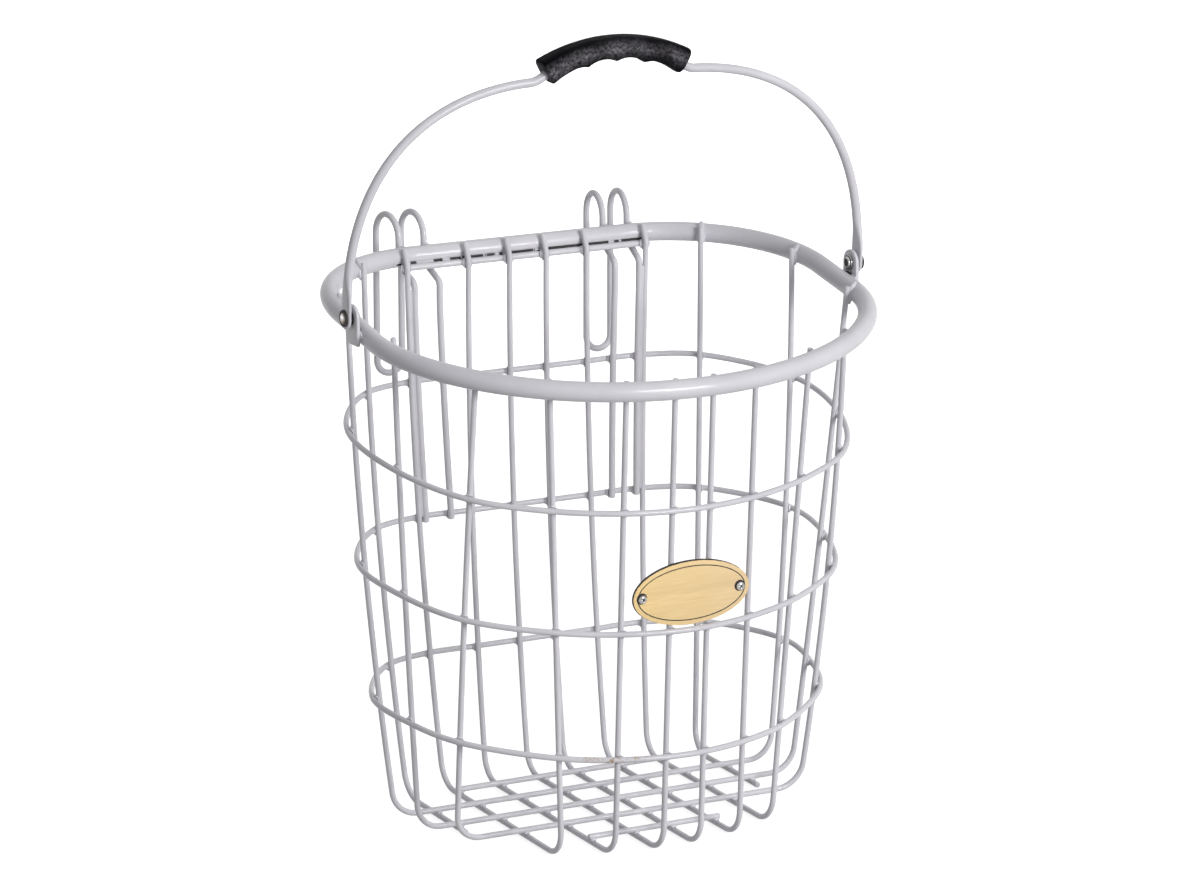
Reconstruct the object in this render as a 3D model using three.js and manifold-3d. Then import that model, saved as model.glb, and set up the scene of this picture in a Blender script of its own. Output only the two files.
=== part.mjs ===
// Wire pannier basket: a D-shaped wire cage under a tube rim, with two rack hooks and a swinging handle.
// Millimetres, +Z up, +Y towards the rack. The origin lies at floor level under the middle of the object.
import * as THREE from 'three';
import { mergeVertices } from 'three/addons/utils/BufferGeometryUtils.js';
import Module from 'manifold-3d';

const wasm = await Module();
wasm.setup();

// Stock and clearances
const WIRE_DIAMETER = 3.8;
const HOOK_WIRE_DIAMETER = 4.4;
const RIM_TUBE_DIAMETER = 12.7;
const BACK_ROD_DIAMETER = 4.2;
const BAIL_WIRE_DIAMETER = 6;
const SEAT_GAP = 0.3; // between pieces that are welded or stacked on each other
const PIVOT_CLEARANCE = 0.3; // all round the shank of a pivot rivet

// Cage outline through the middles of the uprights, at the rim
const RIM_HALF_WIDTH = 163.5;
const RIM_BACK = 120;
const RIM_FRONT = -114;
const RIM_CORNER_RADIUS = 86;
const RIM_SHOULDER = -12; // where the straight sides turn into the round front

// The same outline at the floor
const FLOOR_HALF_WIDTH = 140;
const FLOOR_BACK = 92;
const FLOOR_FRONT = -100;
const FLOOR_CORNER_RADIUS = 68;
const FLOOR_SHOULDER = 24;

// Heights of the rim and the hoops above the floor, at the flat back and at the front
const RIM_BACK_HEIGHT = 354;
const RIM_FRONT_HEIGHT = 310;
const UPPER_HOOP_BACK_HEIGHT = 272;
const UPPER_HOOP_FRONT_HEIGHT = 229;
const MIDDLE_HOOP_BACK_HEIGHT = 181;
const MIDDLE_HOOP_FRONT_HEIGHT = 149;
const LOWER_HOOP_BACK_HEIGHT = 89.5;
const LOWER_HOOP_FRONT_HEIGHT = 65;
const SIDE_RISE = 5; // how far the rim and the hoops arch up at the sides

// Uprights: places along the rim and along the floor, bends and bows
const INNER_WIRE_X = 13.5;
const FLOOR_WIRE_PITCH = 31.5;
const SECOND_BACK_TOP_X = 43.5;
const THIRD_BACK_TOP_X = 88;
const CORNER_TOP_X = 124;
const SECOND_FRONT_TOP_X = 46;
const THIRD_FRONT_TOP_X = 92.5;
const CROSS_WIRE_MIDDLE_Y = 2;
const CROSS_WIRE_PITCH = 32;
const CROSS_TOP_REAR_Y = 50;
const CROSS_TOP_MIDDLE_Y = -20.5;
const CROSS_TOP_FRONT_Y = -72.5;
const FOOT_BEND_RADIUS = 18;
const BACK_BOW = 7.2; // how far the back uprights stand out from a straight line at half height
const CORNER_BOW = 5.5;
const REAR_SIDE_BOW = 4.5;
const MIDDLE_SIDE_BOW = 1.2;
const FRONT_SIDE_BOW = 4.5;
const FRONT_TIP_DROP = 1.2; // tips of the front uprights below the top of the rim tube
const FRONT_SIDE_TIP_DROP = 3.6; // the same for the front cross wire
const MIDDLE_TIP_DROP = 0.6; // the same for the middle cross wire
const REAR_TIP_DROP = 1; // the same at the back corners
const BACK_TIP_ANGLE = 46; // tips of the back uprights round the rim tube, in degrees above level
const BACK_ROD_ANGLE = 44; // place of the back rod round the rim tube, in degrees below level
const ELBOW_ABOVE_ROD = 1.6; // where the back uprights bend back from the rod to the tube
const ELBOW_RADIUS = 4;
const FREE_END_OVERRUN = 8; // corner wires past the middle cross wire
const ROD_OVERRUN = 3; // straight rods past the last wire that they are welded to

// Rack hooks
const HOOK_LEG_SPACING = 18;
const HOOK_THROAT = 24.5; // clear gap that takes the rack rail
const HOOK_TOP_ABOVE_RIM = 24; // middle of the arch above the middle of the rim tube
const HOOK_DROP = 110.5; // from the middle of the arch down to the middle of the U end
const HOOK_LEG_OVERRUN = 3.4; // legs past the middle hoop
const HOOK_JOG_BELOW_RIM = 6.2; // where the legs start to step in under the rim
const HOOK_JOG_HEIGHT = 10.2;
const HOOK_JOG_OUT = 1.5; // sideways part of that step
const HOOK_SPLAY = 2.8; // sideways part of each arch
const HOOK_JOG_RADIUS = 5;

// Handle
const PIVOT_Y = 3;
const PIVOT_ABOVE_RIM = 11; // rivet axis above the middle of the rim tube
const TAB_WIDTH = 17;
const TAB_THICKNESS = 2.5;
const SPACER_THICKNESS = 1;
const SPACER_RADIUS = 5;
const INNER_WASHER_THICKNESS = 1;
const INNER_WASHER_RADIUS = 5.2;
const RIVET_SHANK_RADIUS = 2.5;
const RIVET_HEAD_RADIUS = 4.2;
const RIVET_HEAD_HEIGHT = 2.6;
const RIVET_ROLL_RADIUS = 4;
const RIVET_ROLL_HEIGHT = 1;
const RIVET_HOLLOW_RADIUS = 1.7;
const RIVET_HOLLOW_DEPTH = 4;
const BAIL_END_THICKNESS = 3;
const BAIL_END_WIDTH = 12;
const BAIL_END_BELOW_PIVOT = 7;
const BAIL_FLAT_ABOVE_PIVOT = 10;
const BAIL_TAPER_LENGTH = 20;
const BAIL_REST_LEAN = 3; // degrees towards the front, as the handle stands
const BAIL_CROWN = 156.8; // wire at the middle of the grip above the rivet axis
const BAIL_SIDE_REACH = 104; // how high the side runs pull the shoulder of the arch
const BAIL_SIDE_LEAN = 2;
const BAIL_TOP_REACH = 122; // how far out the top runs pull the shoulder of the arch
const BAIL_TOP_REACH_HEIGHT = 139;
const BAIL_KINK_LENGTH = 8; // straight wire between the grip and the kink
const BAIL_KINK_RADIUS = 14;

// Grip
const GRIP_LENGTH = 101;
const GRIP_ARC_RADIUS = 98;
const GRIP_HALF_WIDTH = 8.5;
const GRIP_ABOVE_WIRE = 9;
const GRIP_END_RISE = 1.8; // how much thicker the top is at the ends
const GRIP_BELOW_WIRE = 5; // in the finger grooves
const GRIP_END_FLARE = 1.8;
const GRIP_SQUARENESS = 3.4; // 2 would be an oval section, and more is boxier
const FINGER_RIDGE_HEIGHT = 2.1;
const FINGER_PITCH = 22;

// Badge
const BADGE_WIDTH = 83;
const BADGE_HEIGHT = 42;
const BADGE_THICKNESS = 1.2;
const BADGE_ABOVE_MIDDLE_HOOP = 1; // clear of the hoop under it
const BADGE_RIVET_SPACING = 70;
const BADGE_RIVET_SHANK_RADIUS = 1.6;
const BADGE_RIVET_HEAD_RADIUS = 3;
const BADGE_RIVET_HEAD_HEIGHT = 1.4;
const STRIP_WIDTH = 6;
const STRIP_THICKNESS = 1.2;
const STRIP_END = 3; // strip past the middle of each rivet

// Facets
const WIRE_SIDES = 8;
const TUBE_SIDES = 12;
const BEND_STEP = Math.PI / 10;
const HOOP_STEPS_PER_SPAN = 2;
const ARCH_STEPS = 9; // odd, so that the middle of each hook's arch is level
const TURNED_SIDES = 14;
const DOME_STEPS = 3;
const SHOULDER_STEPS = 14; // along each shoulder of the handle

const wireRadius = WIRE_DIAMETER / 2;
const hookRadius = HOOK_WIRE_DIAMETER / 2;
const rimRadius = RIM_TUBE_DIAMETER / 2;
const rodRadius = BACK_ROD_DIAMETER / 2;
const bailRadius = BAIL_WIRE_DIAMETER / 2;
const rimOffset = wireRadius + SEAT_GAP + rimRadius; // rim tube middle outside the upright middles
const hoopOffset = 2 * wireRadius + SEAT_GAP;
const floorWireZ = wireRadius * Math.cos(Math.PI / WIRE_SIDES); // lowest facets lie on the ground
const crossWireZ = floorWireZ + WIRE_DIAMETER + SEAT_GAP;
const X_AXIS = new THREE.Vector3(1, 0, 0);
const Y_AXIS = new THREE.Vector3(0, 1, 0);
const Z_AXIS = new THREE.Vector3(0, 0, 1);
const vec = (x, y, z) => new THREE.Vector3(x, y, z);

const paint = { color: 0xd6d4dc, roughness: 0.4, metalness: 0 };
const finishes = {
  paint: () => new THREE.MeshStandardMaterial(paint),
  steel: () => new THREE.MeshStandardMaterial({ color: 0xc9c9cc, roughness: 0.2, metalness: 1 }),
  rubber: () => new THREE.MeshStandardMaterial({ color: 0x1d1c20, roughness: 0.7, metalness: 0 }),
  brass: () => new THREE.MeshStandardMaterial({ color: 0xb59a5b, roughness: 0.35, metalness: 1 }),
};

const basket = new THREE.Group();

function addPart(name, geometry, finish, parent = basket) {
  const mesh = new THREE.Mesh(geometry, finishes[finish]());
  mesh.name = name;
  parent.add(mesh);
  return mesh;
}

// Closed skins

function skinRings(rings, loop) {
  // Joins rings of equal length into one closed skin, with flat caps unless the rings close on themselves.
  const sides = rings[0].length;
  const positions = rings.flat().flatMap((p) => [p.x, p.y, p.z]);
  const index = [];
  const spans = loop ? rings.length : rings.length - 1;
  for (let i = 0; i < spans; i += 1) {
    const a = i * sides;
    const b = ((i + 1) % rings.length) * sides;
    for (let k = 0; k < sides; k += 1) {
      const n = (k + 1) % sides;
      index.push(a + k, a + n, b + n, a + k, b + n, b + k);
    }
  }
  if (!loop) {
    const last = (rings.length - 1) * sides;
    for (let k = 1; k < sides - 1; k += 1) {
      index.push(0, k + 1, k, last, last + k, last + k + 1);
    }
  }
  const geometry = new THREE.BufferGeometry();
  geometry.setAttribute('position', new THREE.Float32BufferAttribute(positions, 3));
  geometry.setIndex(index);
  geometry.computeVertexNormals();
  return geometry;
}

function pathTangents(path, loop) {
  const count = path.length;
  return path.map((point, i) => {
    const before = path[loop ? (i + count - 1) % count : Math.max(i - 1, 0)];
    const after = path[loop ? (i + 1) % count : Math.min(i + 1, count - 1)];
    const into = point.clone().sub(before).normalize();
    const out = after.clone().sub(point).normalize();
    return into.add(out).normalize();
  });
}

function sectionRing(centre, normal, side, halfNormal, halfSide, sides) {
  // A ring of points whose facets face along the normal and the side.
  return Array.from({ length: sides }, (_, k) => {
    const angle = ((k + 0.5) * 2 * Math.PI) / sides;
    return centre
      .clone()
      .addScaledVector(normal, halfNormal * Math.cos(angle))
      .addScaledVector(side, halfSide * Math.sin(angle));
  });
}

function sweepOpen(path, startNormal, sides, halfSizes) {
  // Sweeps a section along an open path, turning it with the path and never about it.
  const tangents = pathTangents(path, false);
  const first = tangents[0];
  const normal = startNormal.clone().addScaledVector(first, -startNormal.dot(first)).normalize();
  const rings = path.map((point, i) => {
    if (i > 0) {
      normal.applyQuaternion(new THREE.Quaternion().setFromUnitVectors(tangents[i - 1], tangents[i]));
    }
    const side = new THREE.Vector3().crossVectors(tangents[i], normal);
    const [halfNormal, halfSide] = halfSizes(i);
    return sectionRing(point, normal, side, halfNormal, halfSide, sides);
  });
  return skinRings(rings, false);
}

function bentWire(path, radius, startNormal) {
  return sweepOpen(path, startNormal, WIRE_SIDES, () => [radius, radius]);
}

function sweepLoop(path, radius, sides) {
  // Sweeps a round section along a closed path that lies roughly level.
  const tangents = pathTangents(path, true);
  const rings = path.map((point, i) => {
    const side = new THREE.Vector3().crossVectors(tangents[i], Z_AXIS).normalize();
    const normal = new THREE.Vector3().crossVectors(side, tangents[i]);
    return sectionRing(point, normal, side, radius, radius, sides);
  });
  return skinRings(rings, true);
}

function bendCorners(corners, radius) {
  // Rounds each sharp corner of a polyline with an arc and keeps its gentle ones as they are.
  const path = [corners[0]];
  for (let i = 1; i < corners.length - 1; i += 1) {
    const into = corners[i].clone().sub(corners[i - 1]).normalize();
    const out = corners[i + 1].clone().sub(corners[i]).normalize();
    const turn = into.angleTo(out);
    if (turn < BEND_STEP) {
      path.push(corners[i]);
      continue;
    }
    const setback = radius * Math.tan(turn / 2);
    const start = corners[i].clone().addScaledVector(into, -setback);
    const inward = out.clone().addScaledVector(into, -out.dot(into)).normalize();
    const steps = Math.ceil(turn / BEND_STEP);
    for (let k = 0; k <= steps; k += 1) {
      const angle = (turn * k) / steps;
      path.push(
        start
          .clone()
          .addScaledVector(into, radius * Math.sin(angle))
          .addScaledVector(inward, radius * (1 - Math.cos(angle))),
      );
    }
  }
  path.push(corners[corners.length - 1]);
  return path;
}

function turned(profile, outward) {
  // Turns a profile of [radius, distance along the axis] about X, with distances growing outward.
  const points = profile.map(([radius, along]) => new THREE.Vector2(radius, along));
  const geometry = new THREE.LatheGeometry(points, TURNED_SIDES);
  return geometry.rotateZ((-outward * Math.PI) / 2);
}

function turnedRing(innerRadius, outerRadius, start, thickness, outward) {
  const end = start + thickness;
  const profile = [
    [innerRadius, start],
    [outerRadius, start],
    [outerRadius, end],
    [innerRadius, end],
    [innerRadius, start],
  ];
  return turned(profile, outward);
}

function domeProfile(radius, base, height) {
  // From the edge of a domed head to the top of it, on the axis.
  return Array.from({ length: DOME_STEPS + 1 }, (_, k) => {
    const angle = (Math.PI / 2) * (k / DOME_STEPS);
    return [k === DOME_STEPS ? 0 : radius * Math.cos(angle), base + height * Math.sin(angle)];
  });
}

// Cage outline

const rimOutline = {
  halfWidth: RIM_HALF_WIDTH,
  back: RIM_BACK,
  front: RIM_FRONT,
  corner: RIM_CORNER_RADIUS,
  shoulder: RIM_SHOULDER,
};
const floorOutline = {
  halfWidth: FLOOR_HALF_WIDTH,
  back: FLOOR_BACK,
  front: FLOOR_FRONT,
  corner: FLOOR_CORNER_RADIUS,
  shoulder: FLOOR_SHOULDER,
};

function cornerPoint(outline, sign, angle) {
  // A point on a back corner, by the angle from straight back to straight out.
  const normal = new THREE.Vector2(sign * Math.sin(angle), Math.cos(angle));
  const x = sign * (outline.halfWidth - outline.corner) + outline.corner * normal.x;
  const y = outline.back - outline.corner + outline.corner * normal.y;
  return { x, y, normal };
}

function frontPoint(outline, angle) {
  // A point on the round front, by its angle from the right shoulder.
  const depth = outline.shoulder - outline.front;
  const x = outline.halfWidth * Math.cos(angle);
  const y = outline.shoulder - depth * Math.sin(angle);
  const normal = new THREE.Vector2(x / outline.halfWidth ** 2, (y - outline.shoulder) / depth ** 2);
  return { x, y, normal: normal.normalize() };
}

function backAt(outline, x) {
  const past = Math.abs(x) - (outline.halfWidth - outline.corner);
  if (past <= 0) {
    return { x, y: outline.back, normal: new THREE.Vector2(0, 1) };
  }
  return cornerPoint(outline, Math.sign(x), Math.asin(past / outline.corner));
}

function frontAt(outline, x) {
  return frontPoint(outline, Math.acos(x / outline.halfWidth));
}

function sideAt(outline, sign, y) {
  const cornerStart = outline.back - outline.corner;
  if (y > cornerStart) {
    return cornerPoint(outline, sign, Math.acos((y - cornerStart) / outline.corner));
  }
  if (y < outline.shoulder) {
    const angle = Math.asin((outline.shoulder - y) / (outline.shoulder - outline.front));
    return frontPoint(outline, sign > 0 ? angle : Math.PI - angle);
  }
  return { x: sign * outline.halfWidth, y, normal: new THREE.Vector2(sign, 0) };
}

function levelHeight(backHeight, frontHeight, y) {
  // Height of the rim or a hoop where it passes a given depth.
  const share = (RIM_BACK - y) / (RIM_BACK - RIM_FRONT);
  return backHeight + (frontHeight - backHeight) * share + 4 * SIDE_RISE * share * (1 - share);
}

const rimHeight = (y) => levelHeight(RIM_BACK_HEIGHT, RIM_FRONT_HEIGHT, y);

function rimPoint({ x, y, normal }) {
  return vec(x + normal.x * rimOffset, y + normal.y * rimOffset, rimHeight(y));
}

const rimBackY = RIM_BACK + rimOffset;

function placeBackRod() {
  // The straight rod lies against the rim tube at its two ends, where the tube starts to turn forward.
  const reach = THIRD_BACK_TOP_X + ROD_OVERRUN;
  const rim = rimPoint(backAt(rimOutline, reach));
  const apart = rimRadius + SEAT_GAP + rodRadius;
  const angle = THREE.MathUtils.degToRad(BACK_ROD_ANGLE);
  return { reach, y: rim.y - apart * Math.cos(angle), z: rim.z - apart * Math.sin(angle) };
}

const backRod = placeBackRod();

// Uprights

function upright(top, topZ, foot, footZ, bow) {
  // A leg of the cage from its weld at the top to the floor, as a function of height.
  const at = (z) => {
    const share = (topZ - z) / (topZ - footZ);
    const bulge = 4 * bow * share * (1 - share);
    const x = top.x + (foot.x - top.x) * share + top.normal.x * bulge;
    const y = top.y + (foot.y - top.y) * share + top.normal.y * bulge;
    return vec(x, y, z);
  };
  const run = [0.25, 0.5, 0.75, 0.92].map((share) => at(topZ + (footZ - topZ) * share));
  return { at, run, foot: at(footZ), normal: top.normal };
}

function uprightOnRim(top, foot, footZ, bow, tipDrop) {
  // A leg welded straight to the inside of the rim tube.
  const topZ = rimHeight(top.y);
  const leg = upright(top, topZ, foot, footZ, bow);
  return { ...leg, points: [leg.at(topZ + rimRadius - tipDrop), ...leg.run] };
}

function backLine(topX, footX) {
  // A line down the flat back, in the plane of the wires that lie against the back rod.
  const top = { ...backAt(rimOutline, topX), y: backRod.y - rodRadius - SEAT_GAP - wireRadius };
  return upright(top, backRod.z, backAt(floorOutline, footX), floorWireZ, BACK_BOW);
}

function uprightOnRod(topX, footX) {
  // A leg welded to the back rod, with its tip bent back onto the rim tube.
  const leg = backLine(topX, footX);
  const rim = rimPoint(backAt(rimOutline, topX));
  const elbow = leg.at(backRod.z + ELBOW_ABOVE_ROD);
  const toRim = rim.clone().sub(elbow).setX(0);
  const touchAngle = Math.acos(rimOffset / toRim.length()) - Math.atan2(toRim.z, toRim.y);
  const onTube = (angle) =>
    vec(topX, rim.y - rimOffset * Math.cos(angle), rim.z + rimOffset * Math.sin(angle));
  const tip = onTube(THREE.MathUtils.degToRad(BACK_TIP_ANGLE));
  const top = bendCorners([tip, onTube(touchAngle), elbow, leg.run[0]], ELBOW_RADIUS).slice(0, -1);
  return { ...leg, points: [...top, ...leg.run] };
}

function crossing(leg, backHeight, frontHeight, offset) {
  // Where a hoop passes a leg, outside it by the given offset.
  let z = (backHeight + frontHeight) / 2;
  for (let pass = 0; pass < 6; pass += 1) {
    z = levelHeight(backHeight, frontHeight, leg.at(z).y);
  }
  const point = leg.at(z);
  return point.add(vec(leg.normal.x * offset, leg.normal.y * offset, 0));
}

function cornerLeg(sign) {
  const top = backAt(rimOutline, sign * CORNER_TOP_X);
  const foot = backAt(floorOutline, sign * floorX[floorX.length - 1]);
  return uprightOnRim(top, foot, floorWireZ, CORNER_BOW, REAR_TIP_DROP);
}

function frontLeg(topX, footX) {
  const foot = frontAt(floorOutline, footX);
  return uprightOnRim(frontAt(rimOutline, topX), foot, floorWireZ, 0, FRONT_TIP_DROP);
}

function sideLeg(sign, row) {
  const top = sideAt(rimOutline, sign, row.topY);
  const foot = sideAt(floorOutline, sign, row.floorY);
  return uprightOnRim(top, foot, crossWireZ, row.bow, row.tipDrop);
}

const floorX = [0, 1, 2, 3].map((n) => INNER_WIRE_X + n * FLOOR_WIRE_PITCH);
const backTopX = [INNER_WIRE_X, SECOND_BACK_TOP_X, THIRD_BACK_TOP_X];
const frontTopX = [INNER_WIRE_X, SECOND_FRONT_TOP_X, THIRD_FRONT_TOP_X];
const crossRows = [
  { name: 'rear', topY: CROSS_TOP_REAR_Y, bow: REAR_SIDE_BOW, tipDrop: REAR_TIP_DROP },
  { name: 'middle', topY: CROSS_TOP_MIDDLE_Y, bow: MIDDLE_SIDE_BOW, tipDrop: MIDDLE_TIP_DROP },
  { name: 'front', topY: CROSS_TOP_FRONT_Y, bow: FRONT_SIDE_BOW, tipDrop: FRONT_SIDE_TIP_DROP },
].map((row, i) => ({ ...row, floorY: CROSS_WIRE_MIDDLE_Y + (1 - i) * CROSS_WIRE_PITCH }));
const signs = [-1, 1];

// Pairs of back and front legs from left to right, with the two corner wires at the ends of the back row
const fromLeft = (list) => [...list.map((n) => [-1, n]).reverse(), ...list.map((n) => [1, n])];
const pairs = fromLeft([0, 1, 2]);
const rodLegs = pairs.map(([s, n]) => uprightOnRod(s * backTopX[n], s * floorX[n]));
const backLegs = [cornerLeg(-1), ...rodLegs, cornerLeg(1)];
const frontLegs = pairs.map(([s, n]) => frontLeg(s * frontTopX[n], s * floorX[n]));
const leftLegs = crossRows.map((row) => sideLeg(-1, row));
const rightLegs = crossRows.map((row) => sideLeg(1, row));

function buildCageWires() {
  frontLegs.forEach((front, i) => {
    const back = backLegs[i + 1];
    const corners = [...back.points, back.foot, front.foot, ...[...front.points].reverse()];
    const path = bendCorners(corners, FOOT_BEND_RADIUS);
    addPart(`cage_wire_${i + 1}`, bentWire(path, wireRadius, X_AXIS), 'paint');
  });
}

function buildCornerWires() {
  const ends = { corner_wire_left: backLegs[0], corner_wire_right: backLegs[backLegs.length - 1] };
  Object.entries(ends).forEach(([name, leg]) => {
    const freeEnd = vec(leg.foot.x, CROSS_WIRE_MIDDLE_Y - FREE_END_OVERRUN, floorWireZ);
    const corners = [...leg.points, leg.foot, freeEnd];
    addPart(name, bentWire(bendCorners(corners, FOOT_BEND_RADIUS), wireRadius, X_AXIS), 'paint');
  });
}

function buildCrossWires() {
  crossRows.forEach((row, i) => {
    const left = leftLegs[i];
    const right = rightLegs[i];
    const corners = [...left.points, left.foot, right.foot, ...[...right.points].reverse()];
    const path = bendCorners(corners, FOOT_BEND_RADIUS);
    addPart(`cross_wire_${row.name}`, bentWire(path, wireRadius, Y_AXIS), 'paint');
  });
}

function buildFloorRods() {
  const rods = [
    { name: 'rear_floor_rod', y: CROSS_WIRE_MIDDLE_Y + 2 * CROSS_WIRE_PITCH, lastX: floorX[2] },
    { name: 'front_floor_rod', y: CROSS_WIRE_MIDDLE_Y - 2 * CROSS_WIRE_PITCH, lastX: floorX[1] },
  ];
  rods.forEach(({ name, y, lastX }) => {
    const reach = lastX + ROD_OVERRUN;
    const path = [vec(-reach, y, crossWireZ), vec(reach, y, crossWireZ)];
    addPart(name, bentWire(path, wireRadius, Y_AXIS), 'paint');
  });
}

function buildHoops() {
  const hoops = {
    upper_hoop: [UPPER_HOOP_BACK_HEIGHT, UPPER_HOOP_FRONT_HEIGHT],
    middle_hoop: [MIDDLE_HOOP_BACK_HEIGHT, MIDDLE_HOOP_FRONT_HEIGHT],
    lower_hoop: [LOWER_HOOP_BACK_HEIGHT, LOWER_HOOP_FRONT_HEIGHT],
  };
  const around = [...backLegs, ...rightLegs, ...[...frontLegs].reverse(), ...[...leftLegs].reverse()];
  Object.entries(hoops).forEach(([name, [backHeight, frontHeight]]) => {
    const stations = around.map((leg) => crossing(leg, backHeight, frontHeight, hoopOffset));
    const curve = new THREE.CatmullRomCurve3(stations, true, 'centripetal');
    const path = curve.getPoints(stations.length * HOOP_STEPS_PER_SPAN).slice(0, -1);
    addPart(name, sweepLoop(path, wireRadius, WIRE_SIDES), 'paint');
  });
}

// Rim

function buildRim() {
  const cornerSteps = 8;
  const frontSteps = 26;
  const steps = (count) => Array.from({ length: count + 1 }, (_, k) => k / count);
  const corner = (sign) => steps(cornerSteps).map((t) => cornerPoint(rimOutline, sign, (t * Math.PI) / 2));
  const front = steps(frontSteps).map((t) => frontPoint(rimOutline, t * Math.PI));
  const path = [...corner(1), ...front, ...corner(-1).reverse()].map(rimPoint);
  addPart('rim_tube', sweepLoop(path, rimRadius, TUBE_SIDES), 'paint');
}

function buildBackRod() {
  const path = signs.map((sign) => vec(sign * backRod.reach, backRod.y, backRod.z));
  addPart('back_rod', bentWire(path, rodRadius, Y_AXIS), 'paint');
}

// Rack hooks

const hookInnerY = rimBackY + rimRadius + SEAT_GAP + hookRadius;
const hookOuterY = hookInnerY + HOOK_THROAT + HOOK_WIRE_DIAMETER;
const hookArchRadius = Math.hypot(hookOuterY - hookInnerY, HOOK_SPLAY) / 2;
const hookTopZ = RIM_BACK_HEIGHT + HOOK_TOP_ABOVE_RIM;

function hookLeg(sign, inset) {
  // One leg from its free end up to the level where its arch begins.
  const line = backLine(sign * (THIRD_BACK_TOP_X - inset), sign * (floorX[2] - inset));
  const inPlane = (z) => line.at(z).setY(line.at(z).y - (hookRadius - wireRadius));
  const endZ = MIDDLE_HOOP_BACK_HEIGHT - HOOK_LEG_OVERRUN;
  const stepTopZ = RIM_BACK_HEIGHT - HOOK_JOG_BELOW_RIM;
  const stepLowZ = stepTopZ - HOOK_JOG_HEIGHT;
  const lower = [0, 0.33, 0.67, 0.9].map((t) => inPlane(endZ + (stepLowZ - endZ) * t));
  const upper = lower[lower.length - 1];
  const x = upper.x + sign * HOOK_JOG_OUT;
  const corners = [
    ...lower,
    vec(upper.x, upper.y, stepLowZ),
    vec(x, hookInnerY, stepTopZ),
    vec(x, hookInnerY, hookTopZ - hookArchRadius),
  ];
  return { x, path: bendCorners(corners, HOOK_JOG_RADIUS) };
}

function halfTurn(centre, from, through, radius) {
  // Points along a half circle that starts along one direction and passes through another.
  return Array.from({ length: ARCH_STEPS - 1 }, (_, k) => {
    const angle = (Math.PI * (k + 1)) / ARCH_STEPS;
    return centre
      .clone()
      .addScaledVector(from, radius * Math.cos(angle))
      .addScaledVector(through, radius * Math.sin(angle));
  });
}

function buildHook(name, sign) {
  const besideUpright = wireRadius + SEAT_GAP + hookRadius;
  const outer = hookLeg(sign, besideUpright);
  const inner = hookLeg(sign, besideUpright + HOOK_LEG_SPACING);
  const archZ = hookTopZ - hookArchRadius;
  const splay = sign * HOOK_SPLAY;
  const acrossArch = vec(hookOuterY - hookInnerY, -splay, 0).normalize();
  const intoThroat = vec(-splay, hookInnerY - hookOuterY, 0).normalize();
  const archY = (hookInnerY + hookOuterY) / 2;
  const arch = (x) => halfTurn(vec(x + splay / 2, archY, archZ), intoThroat, Z_AXIS, hookArchRadius);
  const turnRadius = Math.abs(outer.x - inner.x) / 2;
  const turnX = (outer.x + inner.x) / 2 + splay;
  const turnCentre = vec(turnX, hookOuterY, hookTopZ - HOOK_DROP + turnRadius);
  const path = [
    ...outer.path,
    ...arch(outer.x),
    vec(outer.x + splay, hookOuterY, archZ),
    vec(outer.x + splay, hookOuterY, turnCentre.z),
    ...halfTurn(turnCentre, vec(sign, 0, 0), vec(0, 0, -1), turnRadius),
    vec(inner.x + splay, hookOuterY, turnCentre.z),
    vec(inner.x + splay, hookOuterY, archZ),
    ...arch(inner.x).reverse(),
    ...[...inner.path].reverse(),
  ];
  addPart(name, bentWire(path, hookRadius, acrossArch), 'paint');
}

// Handle: the stack on each pivot, from the rim outward

const tabEdges = [-TAB_WIDTH / 2, 0, TAB_WIDTH / 2];
const rimSideX = Math.max(...tabEdges.map((dy) => rimPoint(sideAt(rimOutline, 1, PIVOT_Y + dy)).x));
const pivotZ = rimHeight(PIVOT_Y) + PIVOT_ABOVE_RIM;
const tabX = rimSideX + rimRadius + SEAT_GAP;
const innerWasherX = tabX - SEAT_GAP - INNER_WASHER_THICKNESS;
const rollX = innerWasherX - SEAT_GAP - RIVET_ROLL_HEIGHT;
const spacerX = tabX + TAB_THICKNESS + SEAT_GAP;
const bailEndX = spacerX + SPACER_THICKNESS + SEAT_GAP;
const rivetHeadX = bailEndX + BAIL_END_THICKNESS + SEAT_GAP;
const holeRadius = RIVET_SHANK_RADIUS + PIVOT_CLEARANCE;
const pivotGroup = new THREE.Group();
pivotGroup.position.set(0, PIVOT_Y, pivotZ);
basket.add(pivotGroup);
const bailGroup = new THREE.Group();
bailGroup.rotation.x = THREE.MathUtils.degToRad(BAIL_REST_LEAN);
pivotGroup.add(bailGroup);

function tabGeometry(sign) {
  const half = TAB_WIDTH / 2;
  const bottom = -PIVOT_ABOVE_RIM - rimRadius;
  const shape = new THREE.Shape();
  shape.moveTo(-half, bottom);
  shape.lineTo(half, bottom);
  shape.lineTo(half, 0);
  shape.absarc(0, 0, half, 0, Math.PI, false);
  shape.closePath();
  const hole = new THREE.Path();
  hole.absarc(0, 0, holeRadius, 0, 2 * Math.PI, true);
  shape.holes.push(hole);
  const options = { depth: TAB_THICKNESS, bevelEnabled: false, curveSegments: 10 };
  const geometry = new THREE.ExtrudeGeometry(shape, options);
  geometry.applyMatrix4(new THREE.Matrix4().makeBasis(Y_AXIS, Z_AXIS, X_AXIS));
  return geometry.translate(sign > 0 ? tabX : -tabX - TAB_THICKNESS, 0, 0);
}

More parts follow.
